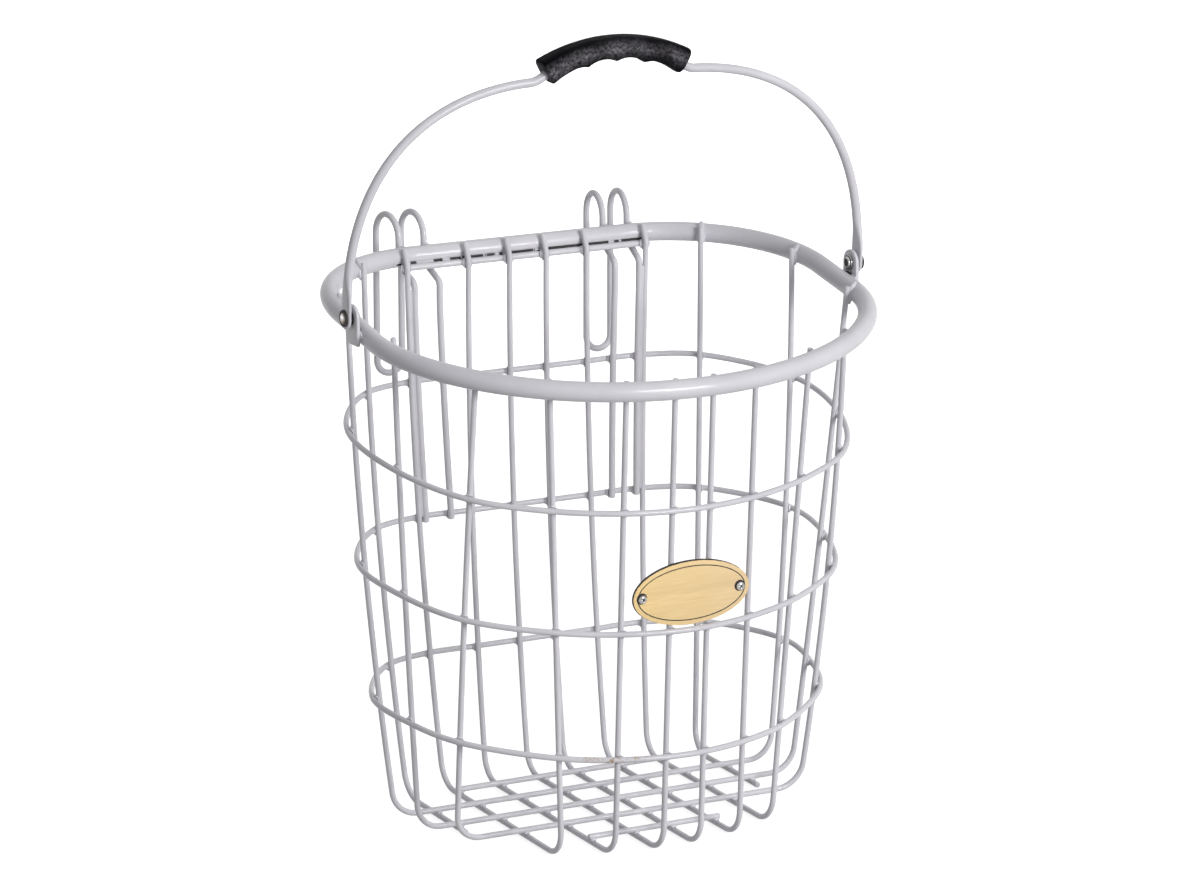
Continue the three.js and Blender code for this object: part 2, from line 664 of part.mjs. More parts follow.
function rivetProfile() {
  return [
    [0, rollX + RIVET_HOLLOW_DEPTH],
    [RIVET_HOLLOW_RADIUS, rollX + RIVET_HOLLOW_DEPTH],
    [RIVET_HOLLOW_RADIUS, rollX],
    [RIVET_ROLL_RADIUS, rollX],
    [RIVET_ROLL_RADIUS, rollX + RIVET_ROLL_HEIGHT],
    [RIVET_SHANK_RADIUS, rollX + RIVET_ROLL_HEIGHT],
    [RIVET_SHANK_RADIUS, rivetHeadX],
    ...domeProfile(RIVET_HEAD_RADIUS, rivetHeadX, RIVET_HEAD_HEIGHT),
  ];
}

function buildPivot(side, sign) {
  const washer = turnedRing(holeRadius, INNER_WASHER_RADIUS, innerWasherX, INNER_WASHER_THICKNESS, sign);
  const spacer = turnedRing(holeRadius, SPACER_RADIUS, spacerX, SPACER_THICKNESS, sign);
  addPart(`${side}_tab`, tabGeometry(sign), 'paint', pivotGroup);
  addPart(`${side}_inner_washer`, washer, 'steel', pivotGroup);
  addPart(`${side}_spacer`, spacer, 'steel', pivotGroup);
  addPart(`${side}_rivet`, turned(rivetProfile(), sign), 'steel', pivotGroup);
}

// Handle: bail wire and grip, drawn in the upright plane with heights above the rivet axis

const gripHalfAngle = GRIP_LENGTH / 2 / GRIP_ARC_RADIUS;

function gripArc(angle) {
  const x = GRIP_ARC_RADIUS * Math.sin(angle);
  return vec(x, 0, BAIL_CROWN - GRIP_ARC_RADIUS * (1 - Math.cos(angle)));
}

function bailHalf() {
  // The right half of the handle from its flattened end to the middle of the grip.
  const x = bailEndX + BAIL_END_THICKNESS / 2;
  const flatTop = BAIL_FLAT_ABOVE_PIVOT;
  const gripEnd = gripArc(gripHalfAngle);
  const outOfGrip = vec(Math.cos(gripHalfAngle), 0, -Math.sin(gripHalfAngle));
  const kink = gripEnd.clone().addScaledVector(outOfGrip, BAIL_KINK_LENGTH);
  const shoulder = new THREE.CubicBezierCurve3(
    vec(x, 0, flatTop),
    vec(x - BAIL_SIDE_LEAN, 0, BAIL_SIDE_REACH),
    vec(BAIL_TOP_REACH, 0, BAIL_TOP_REACH_HEIGHT),
    kink,
  );
  const inGrip = [0.8, 0.6, 0.4, 0.2, 0].map((t) => gripArc(gripHalfAngle * t));
  const below = [1, 0.9, 0.65, 0.3].map((t) => vec(x, 0, -BAIL_END_BELOW_PIVOT * t));
  const corners = [...below, vec(x, 0, 0), ...shoulder.getPoints(SHOULDER_STEPS), gripEnd, ...inGrip];
  return bendCorners(corners, BAIL_KINK_RADIUS);
}

function bailSection(point) {
  // Half sizes across the plane of the handle and in it: a rounded flat at the ends, round above.
  const halfWidth = BAIL_END_WIDTH / 2;
  const halfThickness = BAIL_END_THICKNESS / 2;
  if (point.z < 0) {
    const round = Math.sqrt(Math.max(1 - (point.z / BAIL_END_BELOW_PIVOT) ** 2, 0.06));
    return [halfWidth * round, halfThickness];
  }
  const t = THREE.MathUtils.smoothstep(
    point.z,
    BAIL_FLAT_ABOVE_PIVOT,
    BAIL_FLAT_ABOVE_PIVOT + BAIL_TAPER_LENGTH,
  );
  return [
    THREE.MathUtils.lerp(halfWidth, bailRadius, t),
    THREE.MathUtils.lerp(halfThickness, bailRadius, t),
  ];
}

function toSolid(geometry) {
  const plain = geometry.clone();
  plain.deleteAttribute('normal');
  plain.deleteAttribute('uv');
  const merged = mergeVertices(plain);
  return new wasm.Manifold(
    new wasm.Mesh({
      numProp: 3,
      vertProperties: new Float32Array(merged.attributes.position.array),
      triVerts: new Uint32Array(merged.index.array),
    }),
  );
}

function fromSolid(solid) {
  const { vertProperties, triVerts } = solid.getMesh();
  const geometry = new THREE.BufferGeometry();
  geometry.setAttribute('position', new THREE.BufferAttribute(vertProperties, 3));
  geometry.setIndex(new THREE.BufferAttribute(triVerts, 1));
  geometry.computeVertexNormals();
  return geometry;
}

function buildBail() {
  const right = bailHalf();
  const left = right.slice(0, -1).map((p) => vec(-p.x, 0, p.z));
  const path = [...left, ...right.reverse()];
  const wire = sweepOpen(path, Y_AXIS, TUBE_SIDES, (i) => bailSection(path[i]));
  const holeLength = 3 * BAIL_END_THICKNESS;
  const holeStart = bailEndX - BAIL_END_THICKNESS;
  let solid = toSolid(wire);
  signs.forEach((sign) => {
    const hole = new THREE.CylinderGeometry(holeRadius, holeRadius, holeLength, TURNED_SIDES);
    hole.rotateZ(Math.PI / 2).translate(sign * (holeStart + holeLength / 2), 0, 0);
    solid = solid.subtract(toSolid(hole));
  });
  addPart('bail_wire', fromSolid(solid), 'paint', bailGroup);
}

function gripRing(angle, scale) {
  // Outer ring of the grip, higher above the wire than below it, with finger ridges underneath.
  const along = GRIP_ARC_RADIUS * angle;
  const outward = angle / gripHalfAngle;
  const ridged = Math.abs(along) < 1.5 * FINGER_PITCH;
  const groove = ridged ? Math.abs(Math.sin((Math.PI * along) / FINGER_PITCH)) : 1;
  const ridge = FINGER_RIDGE_HEIGHT * (1 - groove);
  const above = (GRIP_ABOVE_WIRE + GRIP_END_RISE * outward ** 2) * scale;
  const below = (GRIP_BELOW_WIRE + ridge + GRIP_END_FLARE * outward ** 4) * scale;
  const up = vec(Math.sin(angle), 0, Math.cos(angle));
  const boxy = (value) => Math.sign(value) * Math.abs(value) ** (2 / GRIP_SQUARENESS);
  return Array.from({ length: TUBE_SIDES + 4 }, (_, k) => {
    const turn = ((k + 0.5) * 2 * Math.PI) / (TUBE_SIDES + 4);
    const rise = boxy(Math.sin(turn));
    return gripArc(angle)
      .addScaledVector(Y_AXIS, GRIP_HALF_WIDTH * scale * boxy(Math.cos(turn)))
      .addScaledVector(up, rise * (rise > 0 ? above : below));
  });
}

function boreRing(angle) {
  const up = vec(Math.sin(angle), 0, Math.cos(angle));
  const radius = bailRadius + SEAT_GAP;
  return sectionRing(gripArc(angle), Y_AXIS, up, radius, radius, TUBE_SIDES + 4);
}

function buildGrip() {
  const stations = 29;
  const angles = Array.from({ length: stations }, (_, k) => gripHalfAngle * ((2 * k) / (stations - 1) - 1));
  const endScale = 0.9;
  const outer = angles.map((angle, k) => gripRing(angle, k === 0 || k === stations - 1 ? endScale : 1));
  const boreStep = 4;
  const bore = angles.filter((_, k) => k % boreStep === 0).map(boreRing).reverse();
  addPart('grip', skinRings([...outer, ...bore], true), 'rubber', bailGroup);
}

// Badge, drawn upright in a group that leans with the front wires

function ovalPlate() {
  const shape = new THREE.Shape();
  shape.absellipse(0, 0, BADGE_WIDTH / 2, BADGE_HEIGHT / 2, 0, 2 * Math.PI, false, 0);
  return shape;
}

function stripPlate() {
  const half = BADGE_RIVET_SPACING / 2 + STRIP_END;
  const shape = new THREE.Shape();
  shape.moveTo(-half, -STRIP_WIDTH / 2);
  shape.lineTo(half, -STRIP_WIDTH / 2);
  shape.lineTo(half, STRIP_WIDTH / 2);
  shape.lineTo(-half, STRIP_WIDTH / 2);
  shape.closePath();
  return shape;
}

function drilledPlate(shape, thickness, faceDepth) {
  // A plate with two rivet holes whose outer face lies at the given depth in front of the wires' middle.
  signs.forEach((sign) => {
    const hole = new THREE.Path();
    const x = (sign * BADGE_RIVET_SPACING) / 2;
    hole.absarc(x, 0, BADGE_RIVET_SHANK_RADIUS + SEAT_GAP, 0, 2 * Math.PI, true);
    shape.holes.push(hole);
  });
  const options = { depth: thickness, bevelEnabled: false, curveSegments: 16 };
  const geometry = new THREE.ExtrudeGeometry(shape, options);
  geometry.applyMatrix4(new THREE.Matrix4().makeBasis(X_AXIS, Z_AXIS, Y_AXIS.clone().negate()));
  return geometry.translate(0, thickness - faceDepth, 0);
}

function buildBadge() {
  const front = frontLegs[frontLegs.length / 2];
  const hoopZ = crossing(front, MIDDLE_HOOP_BACK_HEIGHT, MIDDLE_HOOP_FRONT_HEIGHT, hoopOffset).z;
  const centreZ = hoopZ + wireRadius + BADGE_ABOVE_MIDDLE_HOOP + BADGE_HEIGHT / 2;
  const centre = front.at(centreZ);
  const along = front.at(centreZ + BADGE_HEIGHT / 2).sub(centre);
  const badge = new THREE.Group();
  badge.position.set(0, centre.y, centre.z);
  badge.rotation.x = -Math.atan2(along.y, along.z);
  basket.add(badge);

  const seat = wireRadius + SEAT_GAP;
  const face = seat + BADGE_THICKNESS;
  const stripBack = seat + STRIP_THICKNESS;
  addPart('badge_plate', drilledPlate(ovalPlate(), BADGE_THICKNESS, face), 'brass', badge);
  addPart('badge_backing_strip', drilledPlate(stripPlate(), STRIP_THICKNESS, -seat), 'paint', badge);
  const head = face + SEAT_GAP;
  const tail = -stripBack - SEAT_GAP;
  const profile = [
    ...domeProfile(BADGE_RIVET_HEAD_RADIUS, 0, BADGE_RIVET_HEAD_HEIGHT)
      .reverse()
      .map(([radius, rise]) => [radius, tail - rise]),
    [BADGE_RIVET_SHANK_RADIUS, tail],
    [BADGE_RIVET_SHANK_RADIUS, head],
    ...domeProfile(BADGE_RIVET_HEAD_RADIUS, head, BADGE_RIVET_HEAD_HEIGHT),
  ];
  Object.entries({ badge_rivet_left: -1, badge_rivet_right: 1 }).forEach(([name, sign]) => {
    const geometry = turned(profile, 1).rotateZ(-Math.PI / 2);
    geometry.translate((sign * BADGE_RIVET_SPACING) / 2, 0, 0);
    addPart(name, geometry, 'steel', badge);
  });
}

buildRim();
buildBackRod();
buildHoops();
buildCageWires();
buildCornerWires();
buildCrossWires();
buildFloorRods();
buildHook('left_hook', -1);
buildHook('right_hook', 1);
buildPivot('left', -1);
buildPivot('right', 1);
buildBail();
buildGrip();
buildBadge();

// The hooks reach farthest back and the rim farthest forward, and the origin lies midway between
const backReach = hookOuterY + hookRadius;
const frontReach = RIM_FRONT - rimOffset - rimRadius;
basket.position.y = -(backReach + frontReach) / 2;

export default basket;
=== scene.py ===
"""Looks of the wire pannier basket: smooth wires, weld fillets, handle, grip and badge."""

from math import acos, asin, atan2, ceil, copysign, cos, hypot, pi, radians, sin, sqrt, tan

import bmesh
import bpy
from mathutils import Matrix, Vector


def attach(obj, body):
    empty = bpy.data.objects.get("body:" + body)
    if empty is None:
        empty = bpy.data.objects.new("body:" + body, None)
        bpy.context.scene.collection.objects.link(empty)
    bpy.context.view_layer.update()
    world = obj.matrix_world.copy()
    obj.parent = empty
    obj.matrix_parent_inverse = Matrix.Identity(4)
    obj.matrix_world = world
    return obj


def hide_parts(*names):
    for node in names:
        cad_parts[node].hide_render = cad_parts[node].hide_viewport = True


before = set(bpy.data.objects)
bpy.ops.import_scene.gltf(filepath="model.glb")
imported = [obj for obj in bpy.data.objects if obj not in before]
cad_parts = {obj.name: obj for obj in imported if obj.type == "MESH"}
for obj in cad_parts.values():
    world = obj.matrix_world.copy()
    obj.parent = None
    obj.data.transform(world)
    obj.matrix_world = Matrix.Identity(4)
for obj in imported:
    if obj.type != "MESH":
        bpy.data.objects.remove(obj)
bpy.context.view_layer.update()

MM = 0.001
X_AXIS = Vector((1, 0, 0))
Y_AXIS = Vector((0, 1, 0))
Z_AXIS = Vector((0, 0, 1))
SIDES = (("left", -1), ("right", 1))

# Stock and clearances, in millimetres like all sizes below
WIRE_RADIUS = 1.9
HOOK_RADIUS = 2.2
RIM_RADIUS = 6.35
ROD_RADIUS = 2.1
BAIL_RADIUS = 3.0
SEAT_GAP = 0.3

# Cage outlines through the middles of the uprights
RIM_OUTLINE = {"half": 163.5, "back": 120.0, "front": -114.0, "corner": 86.0, "shoulder": -12.0}
FLOOR_OUTLINE = {"half": 140.0, "back": 92.0, "front": -100.0, "corner": 68.0, "shoulder": 24.0}
RIM_LEVEL = (354.0, 310.0)
HOOP_LEVELS = {"upper_hoop": (272.0, 229.0), "middle_hoop": (181.0, 149.0), "lower_hoop": (89.5, 65.0)}
SIDE_RISE = 5.0

# Uprights
FLOOR_X = [13.5, 45.0, 76.5, 108.0]
BACK_TOP_X = [13.5, 43.5, 88.0]
CORNER_TOP_X = 124.0
FRONT_TOP_X = [13.5, 46.0, 92.5]
# Name, place along the rim and the floor, bow of the legs and drop of their tips below the rim's top
CROSS_ROWS = [
    ("rear", 50.0, 34.0, 4.5, 1.0),
    ("middle", -20.5, 2.0, 1.2, 0.6),
    ("front", -72.5, -30.0, 4.5, 3.6),
]
REAR_ROD_Y = 66.0
FRONT_ROD_Y = -62.0
BACK_BOW = 7.2
CORNER_BOW = 5.5
FOOT_BEND_RADIUS = 18.0
LEG_RUN_SHARE = 0.92
FRONT_TIP_DROP = 1.2
REAR_TIP_DROP = 1.0
BACK_TIP_ANGLE = radians(46)
BACK_ROD_ANGLE = radians(44)
ELBOW_ABOVE_ROD = 1.6
ELBOW_RADIUS = 4.0
FREE_END_Y = -6.0
ROD_OVERRUN = 3.0

# Rack hooks
HOOK_LEG_SPACING = 18.0
HOOK_THROAT = 24.5
HOOK_TOP_ABOVE_RIM = 24.0
HOOK_DROP = 110.5
HOOK_LEG_OVERRUN = 3.4
HOOK_JOG_BELOW_RIM = 6.2
HOOK_JOG_HEIGHT = 10.2
HOOK_JOG_OUT = 1.5
HOOK_SPLAY = 2.8
HOOK_JOG_RADIUS = 5.0
HOOK_RUN_SHARE = 0.9

# Handle and its pivots
PIVOT_Y = 3.0
PIVOT_ABOVE_RIM = 11.0
TAB_WIDTH = 17.0
TAB_THICKNESS = 2.5
SPACER_THICKNESS = 1.0
BAIL_END_THICKNESS = 3.0
BAIL_END_WIDTH = 12.0
BAIL_END_BELOW_PIVOT = 7.0
BAIL_FLAT_ABOVE_PIVOT = 10.0
BAIL_TAPER_LENGTH = 20.0
BAIL_END_SQUARENESS = 3.2
BAIL_REST_LEAN = radians(3)
BAIL_CROWN = 156.8
BAIL_SIDE_REACH = 104.0
BAIL_SIDE_LEAN = 2.0
BAIL_TOP_REACH = (122.0, 139.0)
BAIL_KINK_LENGTH = 8.0
BAIL_KINK_RADIUS = 14.0
HOLE_RADIUS = 2.8
RIVET_HEAD_RADIUS = 4.0
RIVET_DOME_HEIGHT = 1.5
RIVET_SHANK_RADIUS = 2.5

# Grip
GRIP_LENGTH = 101.0
GRIP_ARC_RADIUS = 98.0
GRIP_HALF_WIDTH = 8.5
GRIP_ABOVE_WIRE = 9.0
GRIP_END_RISE = 1.8
GRIP_BELOW_WIRE = 5.0
GRIP_END_FLARE = 1.8
FINGER_RIDGE_HEIGHT = 2.1
FINGER_PITCH = 22.0
GRIP_SQUARENESS = 3.4

# Badge
BADGE_WIDTH = 83.0
BADGE_HEIGHT = 42.0
BADGE_THICKNESS = 1.2
BADGE_ABOVE_MIDDLE_HOOP = 1.0
BADGE_RIVET_SPACING = 70.0

# Welds: the ball that fits their corner, or the half sizes of a swelling along, across and out
HOOP_WELD_BALL = 1.5
ROD_WELD_BALL = 1.9
HOOK_WELD_BALL = 2.0
FLOOR_WELD_BALL = 1.2
LEG_PAD = (4.6, 3.0, 1.5)
LEG_PAD_DROP = 2.0
TIP_PAD = (5.0, 2.3, 2.0)
TIP_PAD_LEAN = 0.9
TIP_PAD_SINK = 1.0
BACK_TIP_PAD = (3.0, 2.8, 1.1)
TAB_PAD = (TAB_WIDTH / 2 + 1.6, 4.4, 1.9)
TAB_PAD_SINK = 0.4
# Half sizes and place of a dark lens of painted shade under each tab
TAB_HOLLOW = (5.5, 0.9, 0.9)
TAB_HOLLOW_RISE = 4.3
TAB_HOLLOW_SINK = 1.0
SEAM_RADIUS = 1.25
SEAM_INSET = 4.0
# Half sizes and place of a dark lens of painted shade beside each upright in the groove
GROOVE_HOLLOW = (2.2, 1.0, 0.75)
GROOVE_HOLLOW_FORWARD = 1.35
GROOVE_HOLLOW_ASIDE = 1.7

FLOOR_WIRE_Z = WIRE_RADIUS * cos(pi / 8)
CROSS_WIRE_Z = FLOOR_WIRE_Z + 2 * WIRE_RADIUS + SEAT_GAP
RIM_OFFSET = WIRE_RADIUS + SEAT_GAP + RIM_RADIUS
HOOP_OFFSET = 2 * WIRE_RADIUS + SEAT_GAP
RIM_BACK_Y = RIM_OUTLINE["back"] + RIM_OFFSET
HOOK_INNER_Y = RIM_BACK_Y + RIM_RADIUS + SEAT_GAP + HOOK_RADIUS
HOOK_OUTER_Y = HOOK_INNER_Y + HOOK_THROAT + 2 * HOOK_RADIUS
HOOK_TOP_Z = RIM_LEVEL[0] + HOOK_TOP_ABOVE_RIM
HOOK_ARCH_RADIUS = hypot(HOOK_OUTER_Y - HOOK_INNER_Y, HOOK_SPLAY) / 2
HOOK_ARCH_Z = HOOK_TOP_Z - HOOK_ARCH_RADIUS

# The origin lies midway between the backs of the hooks and the front of the rim
SHIFT_Y = -(HOOK_OUTER_Y + HOOK_RADIUS + RIM_OUTLINE["front"] - RIM_OFFSET - RIM_RADIUS) / 2


def row(point):
    """A place in the drawing's millimetres as a place in the frame's metres."""
    return Vector((point[0], point[1] + SHIFT_Y, point[2])) * MM


# Meshes

SMOOTH_WIRE = 70
MERGE_DISTANCE = 1e-6


def shares(count):
    return [k / count for k in range(count + 1)]


def add_object(name, data):
    made = bpy.data.objects.new(name, data)
    bpy.context.scene.collection.objects.link(made)
    return made


def new_object(name, mesh, material, body=None, node=None):
    mesh.materials.clear()
    mesh.materials.append(material)
    piece = add_object(name, mesh)
    if body:
        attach(piece, body)
    if node:
        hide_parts(node)
    return piece


def mesh_from(name, points, faces, smooth_angle=40):
    mesh = bpy.data.meshes.new(name)
    mesh.from_pydata([tuple(p) for p in points], [], faces)
    mesh.update()
    mesh.shade_smooth()
    mesh.set_sharp_from_angle(angle=radians(smooth_angle))
    return mesh


def skin(rings, loop):
    """Points and faces of a skin over rings of equal length, a loop or closed at both ends."""
    sides = len(rings[0])
    points = [p for ring in rings for p in ring]
    faces = []
    for i in range(len(rings) if loop else len(rings) - 1):
        a = i * sides
        b = (i + 1) % len(rings) * sides
        faces += [(a + k, a + (k + 1) % sides, b + (k + 1) % sides, b + k) for k in range(sides)]
    if not loop:
        last = (len(rings) - 1) * sides
        faces.append(tuple(reversed(range(sides))))
        faces.append(tuple(last + k for k in range(sides)))
    return points, faces


def skinned(name, rings, loop, material, node=None):
    """A painted piece of the basket with a smooth skin over rings."""
    mesh = mesh_from(name, *skin(rings, loop), SMOOTH_WIRE)
    new_object(name, mesh, material, "basket", node)


def tangents_of(path, loop):
    count = len(path)
    found = []
    for i, point in enumerate(path):
        before = path[(i - 1) % count] if loop else path[max(i - 1, 0)]
        after = path[(i + 1) % count] if loop else path[min(i + 1, count - 1)]
        found.append(((point - before).normalized() + (after - point).normalized()).normalized())
    return found


def ring(centre, normal, side, half_normal, half_side, sides):
    normal, side = normal * half_normal, side * half_side
    turns = [2 * pi * k / sides for k in range(sides)]
    return [centre + normal * cos(a) + side * sin(a) for a in turns]


def frames_along(path, start_normal):
    """Normals and sides along an open path that turn with it and never about it."""
    tangents = tangents_of(path, False)
    normal = (start_normal - tangents[0] * start_normal.dot(tangents[0])).normalized()
    found = []
    for i, tangent in enumerate(tangents):
        if i:
            normal = tangents[i - 1].rotation_difference(tangent) @ normal
        found.append((tangent, normal.copy(), tangent.cross(normal)))
    return found


# Distance back from a wire's tip in radii, and share of the radius there
END_ROUNDING = [(0.0, 0.55), (0.10, 0.80), (0.26, 0.94), (0.5, 1.0)]


def wire_rings(path, radius, sides, start_normal):
    """Rings of a wire with softly rounded ends."""
    frames = frames_along(path, start_normal)

    def tip(point, tangent, normal, side):
        sizes = [(back * radius, share * radius) for back, share in END_ROUNDING]
        return [ring(point + tangent * back, normal, side, size, size, sides) for back, size in sizes]

    last, normal, side = frames[-1]
    rings = tip(path[0], *frames[0])
    for point, (_, across, aside) in list(zip(path, frames))[1:-1]:
        rings.append(ring(point, across, aside, radius, radius, sides))
    return rings + tip(path[-1], -last, normal, side)[::-1]


def wire(node, path, radius, material, start_normal, sides=18):
    rings = wire_rings([row(p) for p in path], radius * MM, sides, start_normal)
    skinned(f"{node}_form", rings, False, material, node)


def bead(name, path, radius, material, start_normal):
    """A thin round bead along a line."""
    rings = wire_rings([row(p) for p in path], radius * MM, 12, start_normal)
    skinned(name, rings, False, material)


def loop_wire(node, path, radius, material, sides):
    places = [row(p) for p in path]
    rings = []
    for point, tangent in zip(places, tangents_of(places, True)):
        side = tangent.cross(Z_AXIS).normalized()
        rings.append(ring(point, side.cross(tangent), side, radius * MM, radius * MM, sides))
    skinned(f"{node}_form", rings, True, material, node)


BEND_STEP = radians(6)


def bend_corners(corners, radius):
    """Rounds each sharp corner of a polyline with an arc and keeps its gentle ones as they are."""
    path = [corners[0]]
    for before, corner, after in zip(corners, corners[1:], corners[2:]):
        into = (corner - before).normalized()
        out = (after - corner).normalized()
        turn = into.angle(out, 0)
        if turn < BEND_STEP:
            path.append(corner)
            continue
        start = corner - into * (radius * tan(turn / 2))
        inward = (out - into * out.dot(into)).normalized()
        steps = ceil(turn / BEND_STEP)
        for t in shares(steps):
            angle = turn * t
            aside = inward * (radius * (1 - cos(angle)))
            path.append(start + into * (radius * sin(angle)) + aside)
    path.append(corners[-1])
    return path


def face_outward(mesh, merge=False):
    work = bmesh.new()
    work.from_mesh(mesh)
    if merge:
        bmesh.ops.remove_doubles(work, verts=work.verts, dist=MERGE_DISTANCE)
    bmesh.ops.recalc_face_normals(work, faces=work.faces)
    work.to_mesh(mesh)
    work.free()


def turned(name, profile, centre, axis, sides=40):
    """A turned mesh: profile of (radius, distance along the axis), closed on the axis or to a ring."""
    normal = axis.orthogonal().normalized()
    side = axis.cross(normal)
    rings = []
    for radius, along in profile:
        middle = centre + axis * (along * MM)
        rings.append(ring(middle, normal, side, radius * MM, radius * MM, sides))
    mesh = mesh_from(name, *skin(rings, profile[0][0] > 0))
    face_outward(mesh, merge=True)
    mesh.set_sharp_from_angle(angle=radians(35))
    return mesh


def turned_piece(name, profile, centre, axis, material, node=None):
    mesh = turned(name, profile, centre, axis)
    new_object(name, mesh, material, "basket", node)


def softened(node, material, width, segments=3):
    """A copy of a sharp-edged node with rounded edges, which stands for it."""
    work = bmesh.new()
    work.from_mesh(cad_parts[node].data)
    bmesh.ops.remove_doubles(work, verts=work.verts, dist=MERGE_DISTANCE)
    bmesh.ops.dissolve_limit(work, angle_limit=radians(1), verts=work.verts, edges=work.edges)
    sharp = [e for e in work.edges if e.calc_face_angle(0) > radians(50)]
    bmesh.ops.bevel(
        work, geom=sharp, offset=width * MM, segments=segments, profile=0.5, affect="EDGES"
    )
    mesh = bpy.data.meshes.new(f"{node}_form")
    work.to_mesh(mesh)
    work.free()
    mesh.shade_smooth()
    mesh.set_sharp_from_angle(angle=radians(40))
    new_object(f"{node}_form", mesh, material, "basket", node)


class Fillets:
    """Weld fillets under paint: smooth corners where wires meet, gathered into one piece; also dark
    lenses of painted shade.
    """

    def __init__(self, name):
        self.name = name
        self.points = []
        self.faces = []

    def add_skin(self, rings, loop):
        points, faces = skin(rings, loop)
        first = len(self.points)
        self.points += points
        self.faces += [tuple(first + k for k in face) for face in faces]

    def roll(self, contact, normal, along_a, radius_a, along_b, radius_b, ball):
        """The skin a ball leaves as it rolls round two crossing wires, a in front of b."""
        normal = normal.normalized()
        along_a = (along_a - normal * along_a.dot(normal)).normalized()
        along_b = (along_b - normal * along_b.dot(normal)).normalized()
        half_gap = SEAT_GAP / 2
        middle_a, middle_b = radius_a + half_gap, -radius_b - half_gap
        reach = ball - half_gap
        sink = 0.05
        core = 0.1
        turns = 40
        arc = 6
        rings = []
        for k in range(turns):
            turn = 2 * pi * k / turns
            n = reach * cos(2 * turn)
            u = sqrt(max((radius_b + ball) ** 2 - (n - middle_b) ** 2, 0))
            v = sqrt(max((radius_a + ball) ** 2 - (n - middle_a) ** 2, 0))
            u = copysign(u, sin(turn))
            v = copysign(v, cos(turn))
            centre = Vector((u, v, n))
            to_a = (Vector((u, 0, middle_a)) - centre).normalized() * (ball + sink)
            to_b = (Vector((0, v, middle_b)) - centre).normalized() * (ball + sink)
            section = [centre + to_a.slerp(to_b, s / arc) for s in range(arc + 1)]
            section.append(Vector((u * core, v * core, 0)))
            rings.append([row(contact + along_a * p.x + along_b * p.y + normal * p.z) for p in section])
        self.add_skin(rings, True)

    def lens(self, centre, along, normal, half_along, half_across, half_normal):
        """A flat swelling, for a weld run between a plate and a tube, or a dark lens of painted shade.
        """
        normal = normal.normalized()
        across = normal.cross(along)
        steps = 24
        sides = 20
        rings = []
        for k in range(1, steps):
            angle = pi * k / steps
            middle = row(centre + along * (half_along * cos(angle)))
            size = sin(angle) * MM
            rings.append(ring(middle, across, normal, half_across * size, half_normal * size, sides))
        self.add_skin(rings, False)

    def finish(self, material):
        mesh = mesh_from(self.name, self.points, self.faces, SMOOTH_WIRE)
        face_outward(mesh)
        new_object(self.name, mesh, material, "basket", None)


# Materials


class Shader:
    """A small helper that builds the nodes of one material, or of the room around the object."""

    def __init__(self, name, room=False):
        self.owner = bpy.data.worlds.new(name) if room else bpy.data.materials.new(name)
        self.owner.use_nodes = True
        self.tree = self.owner.node_tree
        self.end = self.tree.nodes["Background" if room else "Principled BSDF"]
        self.place = self.node("ShaderNodeTexCoord").outputs["Generated" if room else "Object"]

    def feed(self, socket, value):
        if isinstance(value, bpy.types.NodeSocket):
            self.tree.links.new(value, socket)
        else:
            socket.default_value = value

    def set(self, **values):
        for name, value in values.items():
            self.feed(self.end.inputs[name.replace("_", " ")], value)

    def node(self, kind, **settings):
        made = self.tree.nodes.new(kind)
        for name, value in settings.items():
            if hasattr(made, name):
                setattr(made, name, value)
            else:
                self.feed(made.inputs[name.replace("_", " ")], value)
        return made

    def noise(self, scale, detail=3.0, stretch=None, roughness=0.55):
        place = self.stretched(self.place, stretch) if stretch else self.place
        settings = dict(Scale=scale, Detail=detail, Roughness=roughness)
        return self.node("ShaderNodeTexNoise", Vector=place, **settings).outputs["Fac"]

    def stretched(self, vector, scale):
        return self.node("ShaderNodeMapping", Vector=vector, Scale=scale).outputs["Vector"]

    def part(self, vector, axis):
        return self.node("ShaderNodeSeparateXYZ", Vector=vector).outputs[axis]

    def worked(self, kind, operation, values):
        made = self.node(kind, operation=operation)
        for socket, value in zip(made.inputs, values):
            self.feed(socket, value)
        return made.outputs

    def vector(self, operation, *values):
        found = self.worked("ShaderNodeVectorMath", operation, values)
        return found["Vector" if operation == "SUBTRACT" else "Value"]

    def maths(self, operation, *values):
        return self.worked("ShaderNodeMath", operation, values)[0]

    def times(self, first, second):
        return self.maths("MULTIPLY", first, second)

    def seen(self):
        """One where the eye looks straight, by a reflection or through glass, and else zero."""
        rays = self.node("ShaderNodeLightPath").outputs
        direct = self.maths("MAXIMUM", rays["Is Camera Ray"], rays["Is Glossy Ray"])
        return self.maths("MAXIMUM", direct, rays["Is Transmission Ray"])

    def span(self, value, low, high, out_low=0.0, out_high=1.0):
        settings = dict(From_Min=low, From_Max=high, To_Min=out_low, To_Max=out_high)
        return self.node("ShaderNodeMapRange", Value=value, **settings).outputs["Result"]

    def uneven(self, scale, detail, low, high):
        return self.span(self.noise(scale, detail), 0.3, 0.7, low, high)

    def mix(self, factor, first, second):
        made = self.node("ShaderNodeMix", data_type="RGBA")
        for socket, value in ((0, factor), (6, first), (7, second)):
            self.feed(made.inputs[socket], value)
        return made.outputs[2]

    def bump(self, height, strength, distance, under=None):
        settings = dict(Height=height, Strength=strength, Distance=distance)
        if under:
            settings["Normal"] = under
        return self.node("ShaderNodeBump", **settings).outputs["Normal"]

    def finish(self, colour, roughness, normal=None):
        self.set(Base_Color=colour, Roughness=roughness)
        if normal:
            self.set(Normal=normal)
        return self.owner


def rgb(red, green, blue):
    return (red, green, blue, 1.0)


PAINT_PALE = rgb(0.690, 0.682, 0.722)
PAINT_DEEP = rgb(0.610, 0.600, 0.645)
RUST = rgb(0.330, 0.205, 0.115)
RUST_PALE = rgb(0.560, 0.440, 0.330)
RUST_REACH = 34.0


